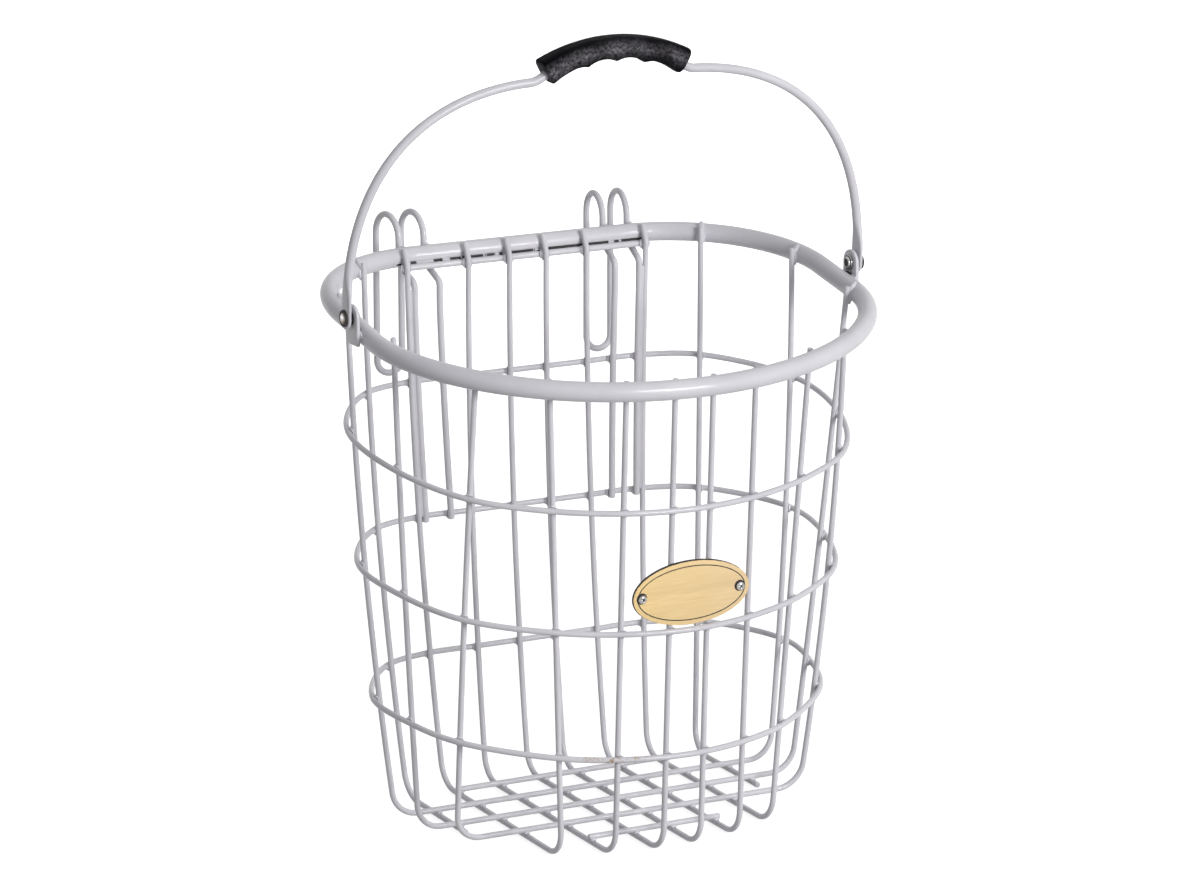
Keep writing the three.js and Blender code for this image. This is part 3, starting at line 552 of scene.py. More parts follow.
def paint_material(name, rust_at=None, rust_reach=0.0):
    """Powder coat with faint orange peel and uneven gloss, and rust near a place if one is given."""
    shader = Shader(name)
    shader.set(IOR=1.5, Specular_IOR_Level=0.2, Coat_Weight=0.34, Coat_Roughness=0.1)
    colour = shader.mix(shader.span(shader.noise(14, 4), 0.35, 0.65), PAINT_DEEP, PAINT_PALE)
    normal = shader.bump(shader.noise(520, 2), 0.18, 0.0005)
    normal = shader.bump(shader.noise(70, 2), 0.12, 0.0012, normal)
    if rust_at:
        apart = shader.vector("DISTANCE", shader.place, rust_at)
        near = shader.span(apart, 0.25 * rust_reach, rust_reach, 1.0, 0.0)
        spots = shader.span(shader.noise(260, 5, roughness=0.7), 0.50, 0.60)
        mask = shader.times(near, spots)
        brown = shader.mix(shader.span(shader.noise(600, 3), 0.4, 0.6), RUST, RUST_PALE)
        colour = shader.mix(mask, colour, brown)
        normal = shader.bump(mask, 0.25, 0.0004, normal)
    return shader.finish(colour, shader.uneven(55, 3, 0.34, 0.46), normal)


def steel_material(name, dark, pale, axis_at=None):
    """Plated steel; where a rivet's axis is given, painted shade makes it browner towards the bottom
    and near black towards the dome's edge.
    """
    shader = Shader(name)
    shader.set(Metallic=1.0)
    colour = shader.mix(shader.span(shader.noise(300, 4), 0.35, 0.65), dark, pale)
    if axis_at:
        apart = shader.vector("SUBTRACT", shader.place, axis_at)
        out = shader.vector("LENGTH", shader.stretched(apart, (0, 1, 1)))
        # Painted shade on a rivet dome: browner low down, near black towards its edge
        low = shader.span(shader.part(apart, "Z"), -0.0022, 0.0008, 0.9, 0.0)
        colour = shader.mix(low, colour, rgb(0.16, 0.085, 0.045))
        colour = shader.mix(shader.span(out, 0.0016, 0.0036), colour, rgb(0.07, 0.05, 0.042))
    normal = shader.bump(shader.noise(900, 2), 0.06, 0.0003)
    return shader.finish(colour, shader.uneven(420, 3, 0.07, 0.18), normal)


def dark_material(name):
    """Near-black metal: painted shade in cracks, gaps and hollows, and also the spacer and ink."""
    shader = Shader(name)
    shader.set(Metallic=0.3)
    colour = shader.mix(shader.noise(350, 4), rgb(0.006, 0.006, 0.007), rgb(0.028, 0.025, 0.026))
    return shader.finish(colour, shader.uneven(250, 3, 0.5, 0.75))


def rubber_material(arc_centre, arc_radius):
    """Moulded black rubber with a painted sheen, grey in mottled patches along the middle of its sides
    and black towards its edges.
    """
    shader = Shader("grip_rubber")
    shader.set(IOR=1.45, Specular_IOR_Level=0.02)
    apart = shader.vector("SUBTRACT", shader.place, arc_centre)
    height = shader.vector("LENGTH", shader.stretched(apart, (1, 0, 1)))
    low = shader.span(height, arc_radius - 0.006, arc_radius + 0.001)
    high = shader.span(height, arc_radius + 0.002, arc_radius + 0.0085, 1.0, 0.0)
    grain = shader.node("ShaderNodeTexVoronoi", Vector=shader.place, Scale=620.0)
    mottle = shader.span(shader.noise(480, 5, roughness=0.8), 0.38, 0.66)
    patches = shader.span(shader.noise(40, 3), 0.36, 0.62, 0.12, 1.0)
    # Painted sheen along the middle of the sides
    painted_sheen = shader.times(shader.times(low, high), shader.times(mottle, patches))
    colour = shader.mix(painted_sheen, rgb(0.0030, 0.0025, 0.0042), rgb(0.300, 0.288, 0.312))
    normal = shader.bump(grain.outputs["Distance"], 0.45, 0.0005)
    normal = shader.bump(shader.noise(260, 4), 0.25, 0.0006, normal)
    return shader.finish(colour, shader.uneven(180, 4, 0.42, 0.62), normal)


def brass_material(face):
    """Brushed brass, with the brushing along the plate; painted shade darkens its cut edge and turns
    its right side a duller tan.
    """
    shader = Shader("brushed_brass")
    shader.set(Metallic=0.06, Specular_IOR_Level=0.3, Anisotropic=0.4)
    lines = shader.noise(1.0, 3, stretch=(60, 900, 2600))
    broad = shader.noise(26, 3)
    colour = shader.mix(shader.span(lines, 0.3, 0.7), rgb(0.77, 0.54, 0.23), rgb(0.93, 0.70, 0.35))
    patches = shader.times(shader.span(broad, 0.35, 0.75), 0.4)
    colour = shader.mix(patches, colour, rgb(0.86, 0.64, 0.36))
    # Painted shading: a duller tan towards the right
    right = shader.span(shader.part(shader.place, "X"), -0.03, 0.045, 0.0, 0.55)
    colour = shader.mix(right, colour, rgb(0.74, 0.56, 0.37))
    # Painted shade: faces turned away from the front, the cut edge, go dark brown
    normal = shader.node("ShaderNodeNewGeometry").outputs["True Normal"]
    facing = shader.vector("DOT_PRODUCT", normal, face)
    flat = shader.maths("ABSOLUTE", facing)
    colour = shader.mix(shader.span(flat, 0.35, 0.75), rgb(0.10, 0.055, 0.035), colour)
    roughness = shader.span(lines, 0.3, 0.7, 0.36, 0.50)
    return shader.finish(colour, roughness, shader.bump(lines, 0.10, 0.0003))


PAINT = paint_material("powder_coat")
STEEL = steel_material("plated_steel", rgb(0.30, 0.29, 0.29), rgb(0.46, 0.46, 0.47))
# Near black, for painted shade where shade falls in cracks, gaps and hollows
DARK = dark_material("near_black_shade")

# Cage outline


def corner_point(outline, sign, angle):
    normal = Vector((sign * sin(angle), cos(angle), 0))
    x = sign * (outline["half"] - outline["corner"]) + outline["corner"] * normal.x
    y = outline["back"] - outline["corner"] + outline["corner"] * normal.y
    return x, y, normal


def front_point(outline, angle):
    depth = outline["shoulder"] - outline["front"]
    x = outline["half"] * cos(angle)
    y = outline["shoulder"] - depth * sin(angle)
    normal = Vector((x / outline["half"] ** 2, (y - outline["shoulder"]) / depth ** 2, 0))
    return x, y, normal.normalized()


def back_at(outline, x):
    past = abs(x) - (outline["half"] - outline["corner"])
    if past <= 0:
        return x, outline["back"], Y_AXIS.copy()
    return corner_point(outline, copysign(1, x), asin(past / outline["corner"]))


def front_at(outline, x):
    return front_point(outline, acos(x / outline["half"]))


def side_at(outline, sign, y):
    corner_start = outline["back"] - outline["corner"]
    if y > corner_start:
        return corner_point(outline, sign, acos((y - corner_start) / outline["corner"]))
    if y < outline["shoulder"]:
        angle = asin((outline["shoulder"] - y) / (outline["shoulder"] - outline["front"]))
        return front_point(outline, angle if sign > 0 else pi - angle)
    return sign * outline["half"], y, Vector((sign, 0, 0))


def level_height(level, y):
    share = (RIM_OUTLINE["back"] - y) / (RIM_OUTLINE["back"] - RIM_OUTLINE["front"])
    return level[0] + (level[1] - level[0]) * share + 4 * SIDE_RISE * share * (1 - share)


def rim_point(x, y, normal):
    return Vector((x, y, level_height(RIM_LEVEL, y))) + normal * RIM_OFFSET


# The straight rod lies against the rim tube at its two ends, where the tube starts to turn forward
ROD_REACH = BACK_TOP_X[-1] + ROD_OVERRUN
rod_rim = rim_point(*back_at(RIM_OUTLINE, ROD_REACH))
rod_apart = RIM_RADIUS + SEAT_GAP + ROD_RADIUS
ROD_Y = rod_rim.y - rod_apart * cos(BACK_ROD_ANGLE)
ROD_Z = rod_rim.z - rod_apart * sin(BACK_ROD_ANGLE)


class Upright:
    """A leg of the cage from its weld at the top to the floor."""

    def __init__(self, top, top_z, foot, foot_z, bow):
        self.top, self.top_z = top, top_z
        self.end, self.foot_z = foot, foot_z
        self.bow = bow
        self.normal = top[2]
        self.head = []

    def at(self, z):
        share = (self.top_z - z) / (self.top_z - self.foot_z)
        bulge = 4 * self.bow * share * (1 - share)
        x = self.top[0] + (self.end[0] - self.top[0]) * share + self.normal.x * bulge
        y = self.top[1] + (self.end[1] - self.top[1]) * share + self.normal.y * bulge
        return Vector((x, y, z))

    @property
    def foot(self):
        return self.at(self.foot_z)

    def run(self):
        fall = LEG_RUN_SHARE * (self.foot_z - self.top_z)
        return [self.at(self.top_z + fall * t) for t in shares(16)[1:]]

    def points(self):
        return self.head + self.run()

    def crossing(self, level, offset):
        z = sum(level) / 2
        for _ in range(6):
            z = level_height(level, self.at(z).y)
        return self.at(z) + self.normal * offset


def leg_on_rim(top, foot, foot_z, bow, tip_drop):
    """A leg welded straight to the inside of the rim tube."""
    leg = Upright(top, level_height(RIM_LEVEL, top[1]), foot, foot_z, bow)
    leg.tip_rise = RIM_RADIUS - tip_drop
    leg.head = [leg.at(leg.top_z + leg.tip_rise)]
    return leg


def back_line(top_x, foot_x):
    """A line down the flat back, in the plane of the wires that lie against the back rod."""
    x, _, normal = back_at(RIM_OUTLINE, top_x)
    top = (x, ROD_Y - ROD_RADIUS - SEAT_GAP - WIRE_RADIUS, normal)
    return Upright(top, ROD_Z, back_at(FLOOR_OUTLINE, foot_x), FLOOR_WIRE_Z, BACK_BOW)


def leg_on_rod(top_x, foot_x):
    """A leg welded to the back rod, with its tip bent back onto the rim tube."""
    leg = back_line(top_x, foot_x)
    rim = rim_point(*back_at(RIM_OUTLINE, top_x))
    elbow = leg.at(ROD_Z + ELBOW_ABOVE_ROD)
    to_rim = Vector((0, rim.y - elbow.y, rim.z - elbow.z))
    touch = acos(RIM_OFFSET / to_rim.length) - atan2(to_rim.z, to_rim.y)
    leg.rim, leg.touch = Vector((top_x, rim.y, rim.z)), touch
    angles = [BACK_TIP_ANGLE + (touch - BACK_TIP_ANGLE) * t for t in shares(5)]
    tip = [leg.rim + Vector((0, -cos(a), sin(a))) * RIM_OFFSET for a in angles]
    leg.head = bend_corners(tip + [elbow, leg.run()[0]], ELBOW_RADIUS)[:-1]
    return leg


def corner_leg(sign):
    top = back_at(RIM_OUTLINE, sign * CORNER_TOP_X)
    foot = back_at(FLOOR_OUTLINE, sign * FLOOR_X[-1])
    return leg_on_rim(top, foot, FLOOR_WIRE_Z, CORNER_BOW, REAR_TIP_DROP)


def front_leg(top_x, foot_x):
    top, foot = front_at(RIM_OUTLINE, top_x), front_at(FLOOR_OUTLINE, foot_x)
    return leg_on_rim(top, foot, FLOOR_WIRE_Z, 0, FRONT_TIP_DROP)


def side_leg(sign, top_y, floor_y, bow, tip_drop):
    top, foot = side_at(RIM_OUTLINE, sign, top_y), side_at(FLOOR_OUTLINE, sign, floor_y)
    return leg_on_rim(top, foot, CROSS_WIRE_Z, bow, tip_drop)


FROM_LEFT = [(-1, 2), (-1, 1), (-1, 0), (1, 0), (1, 1), (1, 2)]
rod_legs = [leg_on_rod(s * BACK_TOP_X[n], s * FLOOR_X[n]) for s, n in FROM_LEFT]
back_legs = [corner_leg(-1)] + rod_legs + [corner_leg(1)]
front_legs = [front_leg(s * FRONT_TOP_X[n], s * FLOOR_X[n]) for s, n in FROM_LEFT]
left_legs = [side_leg(-1, *sizes) for _, *sizes in CROSS_ROWS]
right_legs = [side_leg(1, *sizes) for _, *sizes in CROSS_ROWS]
around = back_legs + right_legs + front_legs[::-1] + left_legs[::-1]

# Cage wires

for i, front in enumerate(front_legs):
    back = back_legs[i + 1]
    corners = back.points() + [back.foot, front.foot] + front.points()[::-1]
    wire(f"cage_wire_{i + 1}", bend_corners(corners, FOOT_BEND_RADIUS), WIRE_RADIUS, PAINT, X_AXIS)
for name, leg in (("corner_wire_left", back_legs[0]), ("corner_wire_right", back_legs[-1])):
    corners = leg.points() + [leg.foot, Vector((leg.foot.x, FREE_END_Y, FLOOR_WIRE_Z))]
    wire(name, bend_corners(corners, FOOT_BEND_RADIUS), WIRE_RADIUS, PAINT, X_AXIS)
for (name, *_), left, right in zip(CROSS_ROWS, left_legs, right_legs):
    corners = left.points() + [left.foot, right.foot] + right.points()[::-1]
    wire(f"cross_wire_{name}", bend_corners(corners, FOOT_BEND_RADIUS), WIRE_RADIUS, PAINT, Y_AXIS)


def straight(reach, y, z, steps=12):
    return [Vector((reach * (2 * t - 1), y, z)) for t in shares(steps)]


for name, last_x, y in (("rear", FLOOR_X[2], REAR_ROD_Y), ("front", FLOOR_X[1], FRONT_ROD_Y)):
    path = straight(last_x + ROD_OVERRUN, y, CROSS_WIRE_Z)
    wire(f"{name}_floor_rod", path, WIRE_RADIUS, PAINT, Y_AXIS)

# Hoops


def smooth_loop(stations, steps):
    """A closed centripetal curve through the stations."""
    count = len(stations)
    path = []
    for i in range(count):
        near = [stations[(i + k) % count] for k in (-1, 0, 1, 2)]
        knots = [0.0]
        for before, after in zip(near, near[1:]):
            knots.append(knots[-1] + (after - before).length ** 0.5)
        for k in range(steps):
            place = knots[1] + (knots[2] - knots[1]) * k / steps
            points = near
            for first, last in ((0, 1), (0, 2), (1, 2)):
                lows = knots[first:first + len(points) - 1]
                highs = knots[last:last + len(points) - 1]
                shared = [(place - low) / (high - low) for low, high in zip(lows, highs)]
                points = [a.lerp(b, t) for a, b, t in zip(points, points[1:], shared)]
            path += points
    return path


hoop_front = front_legs[1].crossing(HOOP_LEVELS["lower_hoop"], HOOP_OFFSET)
RUSTY = paint_material("powder_coat_rusty", tuple(row(hoop_front)), RUST_REACH * MM)
for name, level in HOOP_LEVELS.items():
    stations = [leg.crossing(level, HOOP_OFFSET) for leg in around]
    loop_wire(name, smooth_loop(stations, 9), WIRE_RADIUS, RUSTY if name == "lower_hoop" else PAINT, 18)

# Rim and the rod under its back

rim_path = [corner_point(RIM_OUTLINE, 1, t * pi / 2) for t in shares(24)]
rim_path += [front_point(RIM_OUTLINE, t * pi) for t in shares(80)]
rim_path += [corner_point(RIM_OUTLINE, -1, t * pi / 2) for t in reversed(shares(24))]
rim_path = [rim_point(*p) for p in rim_path]
back_run = [rim_path[-1].lerp(rim_path[0], k / 12) for k in range(1, 12)]
loop_wire("rim_tube", rim_path + back_run, RIM_RADIUS, PAINT, 40)

wire("back_rod", straight(ROD_REACH, ROD_Y, ROD_Z, 24), ROD_RADIUS, PAINT, Y_AXIS, 24)

# Rack hooks


def half_turn(centre, start, through, radius, steps=24):
    angles = [pi * k / steps for k in range(1, steps)]
    start, through = start * radius, through * radius
    return [centre + start * cos(a) + through * sin(a) for a in angles]


class HookLeg:
    """One leg of a hook on the back of the cage, up to the level where its arch begins."""

    def __init__(self, sign, inset):
        self.line = back_line(sign * (BACK_TOP_X[2] - inset), sign * (FLOOR_X[2] - inset))
        end_z = HOOP_LEVELS["middle_hoop"][0] - HOOK_LEG_OVERRUN
        step_top = RIM_LEVEL[0] - HOOK_JOG_BELOW_RIM
        step_low = step_top - HOOK_JOG_HEIGHT
        rise = (step_low - end_z) * HOOK_RUN_SHARE
        lower = [self.at(end_z + rise * t) for t in shares(10)]
        upper = lower[-1]
        self.x = upper.x + sign * HOOK_JOG_OUT
        self.far_x = self.x + sign * HOOK_SPLAY
        self.low, self.high = end_z, step_low
        corners = lower + [
            Vector((upper.x, upper.y, step_low)),
            Vector((self.x, HOOK_INNER_Y, step_top)),
            Vector((self.x, HOOK_INNER_Y, HOOK_ARCH_Z)),
        ]
        self.path = bend_corners(corners, HOOK_JOG_RADIUS)
        near = Vector((self.x, HOOK_INNER_Y, 0))
        far = Vector((self.far_x, HOOK_OUTER_Y, 0))
        centre = (near + far) / 2 + Z_AXIS * HOOK_ARCH_Z
        self.arch = half_turn(centre, (near - far).normalized(), Z_AXIS, HOOK_ARCH_RADIUS)

    def at(self, z):
        point = self.line.at(z)
        return Vector((point.x, point.y - (HOOK_RADIUS - WIRE_RADIUS), z))


BESIDE_UPRIGHT = WIRE_RADIUS + SEAT_GAP + HOOK_RADIUS
hook_legs = {}
for side, sign in SIDES:
    outer = HookLeg(sign, BESIDE_UPRIGHT)
    inner = HookLeg(sign, BESIDE_UPRIGHT + HOOK_LEG_SPACING)
    hook_legs[side] = (outer, inner)
    turn_radius = abs(outer.x - inner.x) / 2
    turn_z = HOOK_TOP_Z - HOOK_DROP + turn_radius
    turn = Vector(((outer.far_x + inner.far_x) / 2, HOOK_OUTER_Y, turn_z))
    heights = (HOOK_ARCH_Z, (HOOK_ARCH_Z + turn_z) / 2, turn_z)
    path = outer.path + outer.arch
    path += [Vector((outer.far_x, HOOK_OUTER_Y, z)) for z in heights]
    path += half_turn(turn, X_AXIS * sign, -Z_AXIS, turn_radius)
    path += [Vector((inner.far_x, HOOK_OUTER_Y, z)) for z in heights[::-1]]
    path += inner.arch[::-1] + inner.path[::-1]
    wire(f"{side}_hook", path, HOOK_RADIUS, PAINT, X_AXIS, 20)

# Weld fillets


def round_outline(level, y, normal):
    """The direction of the rim or a hoop where it passes a leg."""
    flat = Z_AXIS.cross(normal)
    rise = (level_height(level, y + flat.y) - level_height(level, y - flat.y)) / 2
    return flat + Z_AXIS * rise


hooked = [leg for pair in hook_legs.values() for leg in pair]
for name, level in HOOP_LEVELS.items():
    hoop_fillets = Fillets(f"{name}_fillets")
    crossed = [(leg, WIRE_RADIUS) for leg in around]
    if name != "lower_hoop":
        crossed += [(leg.line, HOOK_RADIUS) for leg in hooked]
    for leg, radius in crossed:
        contact = leg.crossing(level, WIRE_RADIUS + SEAT_GAP / 2)
        down = leg.at(contact.z - 1) - leg.at(contact.z + 1)
        outline = round_outline(level, contact.y, leg.normal)
        hoop_fillets.roll(contact, -leg.normal, down, radius, outline, WIRE_RADIUS, HOOP_WELD_BALL)
    hoop_fillets.finish(RUSTY if name == "lower_hoop" else PAINT)

rim_fillets = Fillets("rim_fillets")
inner_tips = [back_legs[0], back_legs[-1], left_legs[0]] + right_legs[:2]
for leg in inner_tips + left_legs[1:] + right_legs[2:] + front_legs:
    contact = leg.at(leg.top_z) + leg.normal * (WIRE_RADIUS + SEAT_GAP / 2)
    rim_fillets.lens(contact - Z_AXIS * LEG_PAD_DROP, Z_AXIS, -leg.normal, *LEG_PAD)
for leg in inner_tips:
    tip = leg.at(leg.top_z + leg.tip_rise - TIP_PAD_SINK)
    tip_weld = tip + leg.normal * (WIRE_RADIUS + TIP_PAD_SINK)
    along = (Z_AXIS + leg.normal * TIP_PAD_LEAN).normalized()
    rim_fillets.lens(tip_weld, along, -leg.normal + Z_AXIS * TIP_PAD_LEAN, *TIP_PAD)
for leg in rod_legs:
    contact = Vector((leg.at(ROD_Z).x, ROD_Y - ROD_RADIUS - SEAT_GAP / 2, ROD_Z))
    rim_fillets.roll(contact, -Y_AXIS, Z_AXIS, WIRE_RADIUS, X_AXIS, ROD_RADIUS, ROD_WELD_BALL)
    for angle in (leg.touch, (leg.touch + BACK_TIP_ANGLE) / 2):
        outward = Vector((0, -cos(angle), sin(angle)))
        upward = Vector((0, sin(angle), cos(angle)))
        contact = leg.rim + outward * (RIM_RADIUS + SEAT_GAP / 2)
        rim_fillets.lens(contact, upward, outward, *BACK_TIP_PAD)
for leg in hooked:
    contact = Vector((leg.x, RIM_BACK_Y + RIM_RADIUS + SEAT_GAP / 2, RIM_LEVEL[0]))
    rim_fillets.roll(contact, Y_AXIS, Z_AXIS, HOOK_RADIUS, X_AXIS, RIM_RADIUS, HOOK_WELD_BALL)
rim_fillets.finish(PAINT)

floor_fillets = Fillets("floor_fillets")
rear_y, middle_y, front_y = (cross[2] for cross in CROSS_ROWS)
floor_rows = [(REAR_ROD_Y, 3), (rear_y, 4), (middle_y, 4), (front_y, 3), (FRONT_ROD_Y, 2)]
for y, count in floor_rows:
    for x in FLOOR_X[:count]:
        for sign in (-1, 1):
            contact = Vector((sign * x, y, (FLOOR_WIRE_Z + CROSS_WIRE_Z) / 2))
            floor_fillets.roll(
                contact, Z_AXIS, X_AXIS, WIRE_RADIUS, Y_AXIS, WIRE_RADIUS, FLOOR_WELD_BALL
            )
floor_fillets.finish(PAINT)

# Paint that closes the crack between each hook's outer leg and the upright beside it
for side, sign, upright in (("left", -1, rod_legs[0]), ("right", 1, rod_legs[-1])):
    outer = hook_legs[side][0]
    reach = sign * (WIRE_RADIUS + SEAT_GAP / 2)
    length = outer.high - outer.low - 2 * SEAM_INSET
    heights = [outer.low + SEAM_INSET + length * t for t in shares(20)]
    seam = [upright.at(z) - X_AXIS * reach for z in heights]
    bead(f"{side}_hook_seam", seam, SEAM_RADIUS, PAINT, X_AXIS)

# The groove between the rim tube and the rod: a bead of paint, with a broken near-black ribbon along it
# as painted shade in the gap


# Painted shade in the gap: near black, broken into dashes where the paint shows through
def crack_material():
    shader = Shader("rim_crack_shade")
    dashes = shader.noise(1.0, 5, stretch=(130, 1, 1), roughness=0.68)
    closed = shader.span(shader.part(shader.place, "X"), -0.085, -0.02, 0.09, 0.0)
    broken = shader.span(shader.maths("ADD", dashes, closed), 0.572, 0.582)
    mottle = shader.uneven(200, 2, 0.0, 1.0)
    colour = shader.mix(mottle, rgb(0.003, 0.003, 0.004), rgb(0.010, 0.009, 0.010))
    colour = shader.mix(broken, colour, PAINT_DEEP)
    return shader.finish(colour, shader.uneven(250, 3, 0.55, 0.75))


CRACK = crack_material()
rim_to_rod = Vector((0, ROD_Y - RIM_BACK_Y, ROD_Z - RIM_LEVEL[0]))
groove_width = rim_to_rod.length - RIM_RADIUS - ROD_RADIUS
rim_to_rod.normalize()
groove_mouth = Vector((0, rim_to_rod.z, -rim_to_rod.y))
groove_middle = Vector((0, RIM_BACK_Y, RIM_LEVEL[0])) + rim_to_rod * (RIM_RADIUS + groove_width / 2)
# Name, material, radius and place towards the mouth of the groove
GROOVE_BEADS = [("groove_paint", PAINT, 1.15, 0.35), ("rim_crack_shade", CRACK, 0.85, 1.5)]
for name, material, radius, forward in GROOVE_BEADS:
    middle = groove_middle + groove_mouth * forward
    bead(name, straight(BACK_TOP_X[-1], middle.y, middle.z, 60), radius, material, Y_AXIS)

# Painted shade: a dark lens in the groove beside each upright, by the weld
groove_shade_marks = Fillets("groove_shade_marks")
for leg in rod_legs:
    aside = X_AXIS * (leg.top[0] - WIRE_RADIUS - GROOVE_HOLLOW_ASIDE)
    middle = groove_middle + groove_mouth * GROOVE_HOLLOW_FORWARD + aside
    groove_shade_marks.lens(middle, X_AXIS, groove_mouth, *GROOVE_HOLLOW)
groove_shade_marks.finish(DARK)

# Handle pivots

tab_span = [PIVOT_Y + d for d in (-TAB_WIDTH / 2, 0, TAB_WIDTH / 2)]
RIM_SIDE_X = max(rim_point(*side_at(RIM_OUTLINE, 1, y)).x for y in tab_span)
PIVOT_Z = level_height(RIM_LEVEL, PIVOT_Y) + PIVOT_ABOVE_RIM
TAB_X = RIM_SIDE_X + RIM_RADIUS + SEAT_GAP
SPACER_X = TAB_X + TAB_THICKNESS + SEAT_GAP
BAIL_END_X = SPACER_X + SPACER_THICKNESS + SEAT_GAP
HEAD_X = BAIL_END_X + BAIL_END_THICKNESS + SEAT_GAP
WASHER_THICKNESS = 1.0
ROLL_HEIGHT = 1.0
WASHER_X = TAB_X - SEAT_GAP - WASHER_THICKNESS
ROLL_X = WASHER_X - SEAT_GAP - ROLL_HEIGHT
pivot = Vector((0, PIVOT_Y, PIVOT_Z))


def arc_profile(radius, along, height, steps=10):
    """From the edge of a dome to its top on the axis."""
    angles = [pi / 2 * k / steps for k in range(steps)]
    found = [(radius * cos(a), along + height * sin(a)) for a in angles]
    return found + [(0, along + height)]


def block_profile(inner, outer, low, high):
    """A plain disc or ring between two radii and two places along the axis."""
    return [(inner, low), (outer, low), (outer, high), (inner, high)]


def raised(along, *profile):
    return [(radius, along + rise) for radius, rise in profile]


ROLL_PROFILE = raised(
    ROLL_X, (0, 2.2), (2.35, 2.2), (2.4, 0.8), (2.55, 0.3), (2.85, 0.02), (3.15, 0.05), (3.5, 0.35),
    (3.6, 0.8), (4.0, ROLL_HEIGHT), (RIVET_SHANK_RADIUS, ROLL_HEIGHT),
)
HEAD_PROFILE = raised(
    HEAD_X, (RIVET_SHANK_RADIUS, 0), (RIVET_HEAD_RADIUS - 0.5, 0), (RIVET_HEAD_RADIUS - 0.25, 0.1),
)
HEAD_ARC = arc_profile(RIVET_HEAD_RADIUS - 0.15, HEAD_X + 0.3, RIVET_DOME_HEIGHT - 0.3)
RIVET_PROFILE = ROLL_PROFILE + HEAD_PROFILE + HEAD_ARC
SHADOW_RING_PROFILE = raised(
    HEAD_X, (RIVET_SHANK_RADIUS + 0.1, -0.28), (5.5, -0.28), (5.5, 0.3), (5.2, 0.8), (4.4, 0.9),
    (RIVET_HEAD_RADIUS - 0.1, 0.3), (RIVET_SHANK_RADIUS + 0.1, -0.02),
)
# Near-black rings of painted shade: round the rivet head, in the hollow of the rolled end and round the
# roll
DARK_RINGS = {
    "rivet_shadow_ring": SHADOW_RING_PROFILE,
    "roll_hole": block_profile(0, 2.7, ROLL_X + 0.15, ROLL_X + 2.3),
    "roll_ring": block_profile(3.3, 4.6, WASHER_X - 0.25, WASHER_X - 0.02),
}

STEEL_DARK = rgb(0.60, 0.59, 0.58)
STEEL_PALE = rgb(0.82, 0.82, 0.83)
# The rivet domes carry painted shade, darker low down and towards their edges
DOME_STEEL = steel_material("rivet_steel", STEEL_DARK, STEEL_PALE, tuple(row(pivot)))
DOME_PROFILE = [(0, HEAD_X + 0.2), (RIVET_HEAD_RADIUS - 0.3, HEAD_X + 0.2)]
DOME_PROFILE += arc_profile(RIVET_HEAD_RADIUS - 0.1, HEAD_X + 0.35, RIVET_DOME_HEIGHT - 0.3)

for side, sign in SIDES:
    outward = X_AXIS * sign
    centre = row(pivot)
    turned_piece(f"{side}_rivet_form", RIVET_PROFILE, centre, outward, STEEL, f"{side}_rivet")
    turned_piece(f"{side}_rivet_dome", DOME_PROFILE, centre, outward, DOME_STEEL)
    for name, profile in DARK_RINGS.items():
        turned_piece(f"{side}_{name}", profile, centre, outward, DARK)
    softened(f"{side}_tab", PAINT, 0.7, 4)
    softened(f"{side}_inner_washer", STEEL, 0.2, 2)
    # The spacer is drawn in the same near-black material as the painted shade
    softened(f"{side}_spacer", DARK, 0.2, 2)
    seat = Vector((sign * (TAB_X - TAB_PAD_SINK), PIVOT_Y, PIVOT_Z - PIVOT_ABOVE_RIM))
    # The groove lens under each tab, in its joint with the tube, is painted shade in the near-black
    # material
    hollow = seat + Z_AXIS * TAB_HOLLOW_RISE - outward * TAB_HOLLOW_SINK
    swellings = (("fillets", seat, TAB_PAD, PAINT), ("groove", hollow, TAB_HOLLOW, DARK))
    for name, middle, sizes, material in swellings:
        swelling = Fillets(f"{side}_tab_{name}")
        swelling.lens(middle, Y_AXIS, outward, *sizes)
        swelling.finish(material)

# Handle wire, drawn upright with heights above the rivet axis and then leaned to its rest


def handle_place(point):
    leaned = Matrix.Rotation(BAIL_REST_LEAN, 3, "X") @ Vector(point)
    return row(leaned + pivot)


GRIP_HALF_ANGLE = GRIP_LENGTH / 2 / GRIP_ARC_RADIUS


def grip_arc(angle):
    drop = GRIP_ARC_RADIUS * (1 - cos(angle))
    return Vector((GRIP_ARC_RADIUS * sin(angle), 0, BAIL_CROWN - drop))


def bezier(points, count):
    found = []
    for t in shares(count):
        weights = ((1 - t) ** 3, 3 * t * (1 - t) ** 2, 3 * t * t * (1 - t), t ** 3)
        found.append(sum((p * w for p, w in zip(points, weights)), Vector((0, 0, 0))))
    return found


def smoothstep(value, low, high):
    t = min(max((value - low) / (high - low), 0), 1)
    return t * t * (3 - 2 * t)


def bail_half():
    x = BAIL_END_X + BAIL_END_THICKNESS / 2
    grip_end = grip_arc(GRIP_HALF_ANGLE)
    out_of_grip = Vector((cos(GRIP_HALF_ANGLE), 0, -sin(GRIP_HALF_ANGLE)))
    kink = grip_end + out_of_grip * BAIL_KINK_LENGTH
    start = Vector((x, 0, BAIL_FLAT_ABOVE_PIVOT))
    side = Vector((x - BAIL_SIDE_LEAN, 0, BAIL_SIDE_REACH))
    top = Vector((BAIL_TOP_REACH[0], 0, BAIL_TOP_REACH[1]))
    below = [Vector((x, 0, -BAIL_END_BELOW_PIVOT * cos(pi / 2 * k / 12))) for k in range(12)]
    flat = [Vector((x, 0, BAIL_FLAT_ABOVE_PIVOT * k / 4)) for k in range(4)]
    in_grip = [grip_arc(GRIP_HALF_ANGLE * (1 - t)) for t in shares(12)]
    curve = [p for p in bezier((start, side, top, kink), 60) if (p - kink).length > BAIL_KINK_LENGTH]
    return bend_corners(below + flat + curve + [kink] + in_grip, BAIL_KINK_RADIUS)


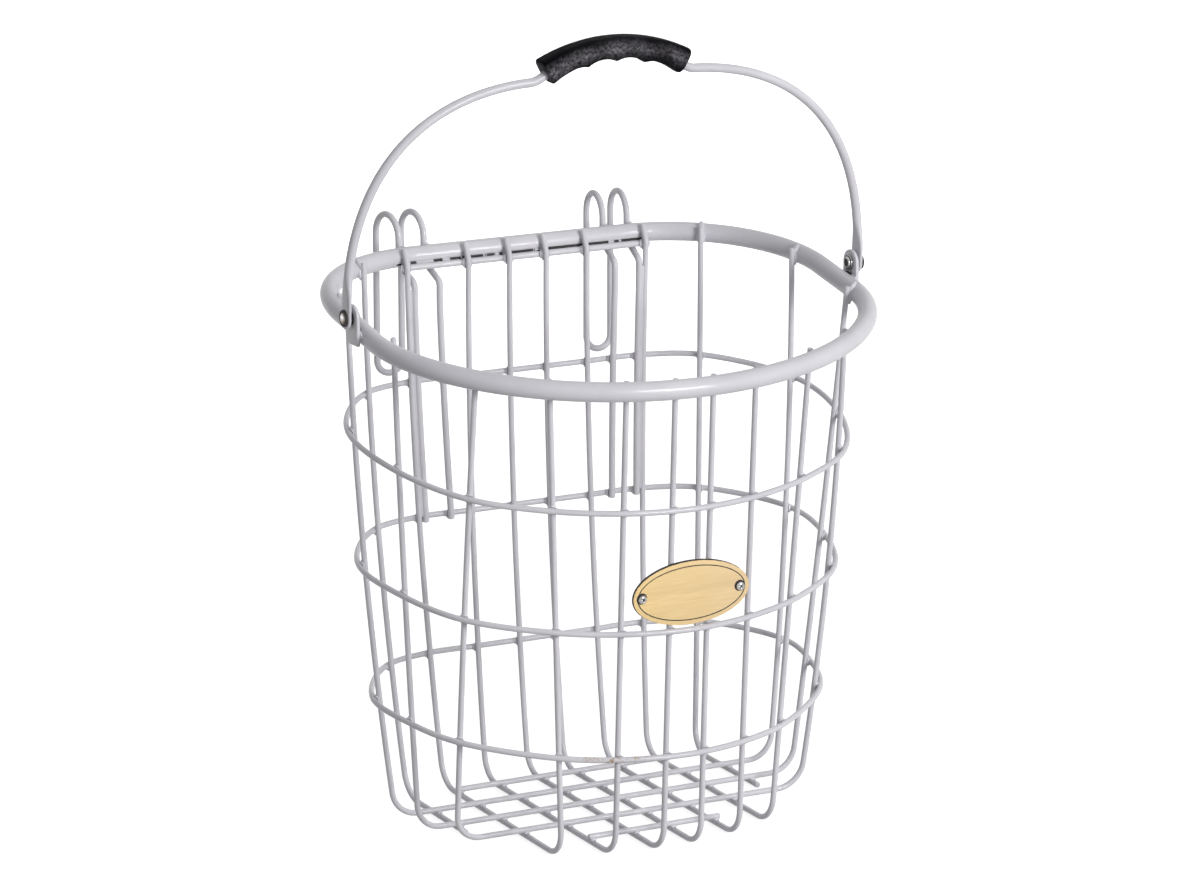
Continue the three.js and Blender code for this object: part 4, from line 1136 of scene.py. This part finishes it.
def bail_section(point):
    """Half sizes across the plane of the handle and in it, and how square the section is."""
    half_width = BAIL_END_WIDTH / 2
    half_thickness = BAIL_END_THICKNESS / 2
    if point.z < 0:
        across = half_width * sqrt(max(1 - (point.z / BAIL_END_BELOW_PIVOT) ** 2, 0.004))
        return across, half_thickness * (0.72 if across < 1 else 1), BAIL_END_SQUARENESS
    t = smoothstep(point.z, BAIL_FLAT_ABOVE_PIVOT, BAIL_FLAT_ABOVE_PIVOT + BAIL_TAPER_LENGTH)
    half_width += (BAIL_RADIUS - half_width) * t
    half_thickness += (BAIL_RADIUS - half_thickness) * t
    return half_width, half_thickness, BAIL_END_SQUARENESS + (2 - BAIL_END_SQUARENESS) * t


def rounded(angle, squareness):
    """A point of a section between round and square, at unit half sizes."""
    c, s = cos(angle), sin(angle)
    power = 2 / squareness
    return copysign(abs(c) ** power, c), copysign(abs(s) ** power, s)


right_half = bail_half()
bail_path = [Vector((-p.x, 0, p.z)) for p in right_half[:-1]] + right_half[::-1]
BAIL_SIDES = 28
bail_rings = []
for point, (_, normal, side) in zip(bail_path, frames_along(bail_path, Y_AXIS)):
    half_width, half_thickness, squareness = bail_section(point)
    places = [rounded(2 * pi * k / BAIL_SIDES, squareness) for k in range(BAIL_SIDES)]
    section = [point + normal * (half_width * c) + side * (half_thickness * s) for c, s in places]
    bail_rings.append([handle_place(p) for p in section])
mesh = mesh_from("bail_wire", *skin(bail_rings, False), smooth_angle=60)
bail = add_object("bail_cut", mesh)
hole_profile = block_profile(0, HOLE_RADIUS, -1.0, 9.0)
cutters = []
for sign in (-1, 1):
    start = row(pivot + X_AXIS * (sign * (BAIL_END_X - 2.0)))
    hole = turned("bail_hole", hole_profile, start, X_AXIS * sign, 32)
    cutter = add_object("bail_hole", hole)
    cut = bail.modifiers.new("hole", "BOOLEAN")
    cut.operation = "DIFFERENCE"
    cut.solver = "EXACT"
    cut.object = cutter
    cutters.append(cutter)
bpy.context.view_layer.update()
evaluated = bail.evaluated_get(bpy.context.evaluated_depsgraph_get())
pierced = bpy.data.meshes.new_from_object(evaluated)
for scrap in [bail] + cutters:
    bpy.data.objects.remove(scrap)
pierced.set_sharp_from_angle(angle=radians(60))
new_object("bail_wire_form", pierced, PAINT, "handle", "bail_wire")

# Grip

GRIP_SIDES = 48
GRIP_STEPS = 120
GRIP_EDGE = 1.6


def grip_ring(angle, shrink):
    along = GRIP_ARC_RADIUS * angle
    ends = (angle / GRIP_HALF_ANGLE) ** 2
    ridge = 0.0
    if abs(along) < 1.5 * FINGER_PITCH:
        ridge = FINGER_RIDGE_HEIGHT * (1 - abs(sin(pi * along / FINGER_PITCH))) ** 1.2
    above = GRIP_ABOVE_WIRE + GRIP_END_RISE * ends - shrink
    below = GRIP_BELOW_WIRE + ridge + GRIP_END_FLARE * ends ** 2 - shrink
    across = GRIP_HALF_WIDTH - shrink
    up = Vector((sin(angle), 0, cos(angle)))
    middle = (above - below) / 2
    half_height = (above + below) / 2
    points = []
    for k in range(GRIP_SIDES):
        c, s = rounded(2 * pi * k / GRIP_SIDES, GRIP_SQUARENESS)
        points.append(grip_arc(angle) + Y_AXIS * (across * c) + up * (middle + half_height * s))
    return points


def bore_ring(angle):
    up = Vector((sin(angle), 0, cos(angle)))
    radius = BAIL_RADIUS + SEAT_GAP
    return ring(grip_arc(angle), Y_AXIS, up, radius, radius, GRIP_SIDES)


edge_angles = [pi / 2 * t for t in shares(5)]
end_steps = [(GRIP_EDGE * (1 - cos(a)), GRIP_EDGE * (1 - sin(a))) for a in edge_angles]
turns = [GRIP_HALF_ANGLE * (2 * t - 1) for t in shares(GRIP_STEPS)]
edge_turn = GRIP_EDGE / GRIP_ARC_RADIUS
inner_turns = [t for t in turns if abs(t) < GRIP_HALF_ANGLE - edge_turn]
left_end = [(-GRIP_HALF_ANGLE + back / GRIP_ARC_RADIUS, shrink) for back, shrink in end_steps]
right_end = [(-t, shrink) for t, shrink in reversed(left_end)]
stations = left_end + [(t, 0.0) for t in inner_turns] + right_end
outer_rings = [grip_ring(t, shrink) for t, shrink in stations]
bore_rings = [bore_ring(t) for t in turns[::-12]]
grip_rings = [[handle_place(p) for p in points] for points in outer_rings + bore_rings]
mesh = mesh_from("grip", *skin(grip_rings, True), smooth_angle=50)
arc_middle = handle_place((0, 0, BAIL_CROWN - GRIP_ARC_RADIUS))
RUBBER = rubber_material(arc_middle, GRIP_ARC_RADIUS * MM)
new_object("grip_form", mesh, RUBBER, "handle", "grip")

# Badge

badge_leg = front_legs[len(front_legs) // 2]
hoop_z = badge_leg.crossing(HOOP_LEVELS["middle_hoop"], HOOP_OFFSET).z
badge_z = hoop_z + WIRE_RADIUS + BADGE_ABOVE_MIDDLE_HOOP + BADGE_HEIGHT / 2
badge_middle = Vector((0, badge_leg.at(badge_z).y, badge_z))
badge_up = badge_leg.at(badge_z + BADGE_HEIGHT / 2) - badge_leg.at(badge_z)
badge_up = Vector((0, badge_up.y, badge_up.z)).normalized()
badge_out = X_AXIS.cross(badge_up)
BADGE_FACE = WIRE_RADIUS + SEAT_GAP + BADGE_THICKNESS

BRASS = brass_material(badge_out)
# Dark material for the inked line, and for painted shade along the plate's edge
INK_AND_SHADE = dark_material("badge_ink_and_shade")
softened("badge_plate", BRASS, 0.35, 3)
softened("badge_backing_strip", PAINT, 0.3, 2)


def badge_place(x, z, out):
    return row(badge_middle + X_AXIS * x + badge_up * z + badge_out * out)


def badge_band(name, angles, sections, loop):
    """A thin dark band round the plate, from sections of (distance past its edge, rise)."""
    rings = []
    for angle, section in zip(angles, sections):
        corners = []
        for beyond, rise in section:
            x = (BADGE_WIDTH / 2 + beyond) * cos(angle)
            z = (BADGE_HEIGHT / 2 + beyond) * sin(angle)
            corners.append(badge_place(x, z, BADGE_FACE + rise))
        rings.append(corners)
    mesh = mesh_from(name, *skin(rings, loop), smooth_angle=30)
    new_object(name, mesh, INK_AND_SHADE, "basket", None)


# Painted shade: a dark band behind the plate's upper left edge, where its cut edge lies in shade
edge_angles = [radians(35 + 175 * t) for t in shares(60)]
edge_widths = [0.15 + 0.75 * sin(pi * t) for t in shares(60)]
edge_sections = [block_profile(-0.8, wide, -0.9, -0.35) for wide in edge_widths]
badge_band("badge_edge_shade", edge_angles, edge_sections, False)
# An inked line just inside the edge of the plate
line_angles = [2 * pi * t for t in shares(120)[:-1]]
line_sections = [[(-3.0, -0.1), (-3.0, 0.06), (-3.7, 0.06), (-3.7, -0.1)]] * len(line_angles)
badge_band("badge_line", line_angles, line_sections, True)

BADGE_HEAD_PROFILE = raised(
    BADGE_FACE, (0, -0.1), (0.75, -0.1), (0.8, 0.9), (1.05, 1.45), (1.5, 1.68), (2.1, 1.55), (2.6, 1.2),
    (2.9, 0.75), (3.0, 0.32), (1.6, 0.3),
)
BADGE_HEAD_PROFILE += raised(
    -WIRE_RADIUS, (1.6, -1.8), (2.95, -1.82), (2.7, -2.5), (2.0, -3.0), (0, -3.2),
)
# A near-black ring under each head, shifted up and left, is painted shadow
HEAD_RING_PROFILE = block_profile(1.7, 3.7, BADGE_FACE + 0.02, BADGE_FACE + 0.12)
HEAD_RING_SHIFT = 0.45
for side, sign in SIDES:
    x = sign * BADGE_RIVET_SPACING / 2
    name = f"badge_rivet_{side}"
    centre = badge_place(x, 0, 0)
    turned_piece(f"{name}_form", BADGE_HEAD_PROFILE, centre, badge_out, STEEL, name)
    shaded = badge_place(x - HEAD_RING_SHIFT, HEAD_RING_SHIFT, 0)
    turned_piece(f"{name}_ring", HEAD_RING_PROFILE, shaded, badge_out, DARK)

# Floor, light and camera


def stage_material():
    """Pale floor that looks white to the eye and keeps a soft shadow."""
    shader = Shader("pale_floor")
    shader.set(Emission_Color=rgb(1, 1, 1))
    colour = shader.mix(shader.noise(3, 2), rgb(0.38, 0.38, 0.38), rgb(0.41, 0.41, 0.41))
    away = shader.span(shader.vector("LENGTH", shader.place), 0.7, 2.2, 0.82, 1.0)
    shader.set(Emission_Strength=shader.times(shader.seen(), away))
    return shader.finish(colour, 0.9)


FLOOR_HALF = 6.0
FLOOR_Z = -0.0006
quarters = ((-1, -1), (1, -1), (1, 1), (-1, 1))
corners = [(x * FLOOR_HALF, y * FLOOR_HALF, FLOOR_Z) for x, y in quarters]
floor_mesh = mesh_from("floor", corners, [(0, 1, 2, 3)])
new_object("floor", floor_mesh, stage_material())

# White to the eye, and for light a room that is brighter above and to the right
studio = Shader("studio", room=True)
studio.set(Color=rgb(1, 1, 1))
BRIGHT_SIDE = Vector((0.62, -0.38, 0.68)).normalized()
bright = studio.vector("DOT_PRODUCT", studio.place, BRIGHT_SIDE)
room_light = studio.span(bright, -0.6, 1.0, 0.08, 0.36)
studio.set(Strength=studio.span(studio.seen(), 0.0, 1.0, room_light, 1.0))
bpy.context.scene.world = studio.owner

LIGHT_TARGET = Vector((0, 0, 0.2))


def area_light(name, place, size, power, mirrored=True):
    light = bpy.data.lights.new(name, "AREA")
    light.shape = "RECTANGLE"
    light.size, light.size_y = size
    light.energy = power
    lamp = add_object(name, light)
    lamp.location = place
    lamp.rotation_euler = (LIGHT_TARGET - Vector(place)).to_track_quat("-Z", "Y").to_euler()
    lamp.visible_glossy = mirrored


area_light("key", (0.9, -2.7, 1.0), (1.0, 1.0), 58)
area_light("left", (-1.9, -1.6, 1.5), (1.6, 1.2), 5)
area_light("top", (0.2, 0.4, 2.4), (1.8, 1.8), 5)
area_light("back", (1.3, 2.5, 0.8), (1.6, 1.2), 32, False)
area_light("back_left", (-2.2, 1.4, 1.3), (1.6, 1.6), 5, False)

# The view was solved from the wire crossings in the photograph, in a 1200 by 887 frame
VIEW_FROM = Vector((-1.5091, -2.8825 + SHIFT_Y * MM, 1.0568 + FLOOR_WIRE_Z * MM))
VIEW_AZIMUTH = radians(27.52)
VIEW_DROP = radians(14.01)
FOCAL_PIXELS = 5202.6
FRAME_WIDTH = 1200
camera_data = bpy.data.cameras.new("camera")
camera_data.sensor_width = 36.0
camera_data.sensor_fit = "HORIZONTAL"
camera_data.lens = camera_data.sensor_width * FOCAL_PIXELS / FRAME_WIDTH
camera_data.clip_end = 50.0
camera = add_object("camera", camera_data)
camera.location = VIEW_FROM
level = cos(VIEW_DROP)
look = Vector((sin(VIEW_AZIMUTH) * level, cos(VIEW_AZIMUTH) * level, -sin(VIEW_DROP)))
camera.rotation_euler = look.to_track_quat("-Z", "Y").to_euler()
bpy.context.scene.camera = camera
bpy.context.scene.view_settings.view_transform = "Standard"
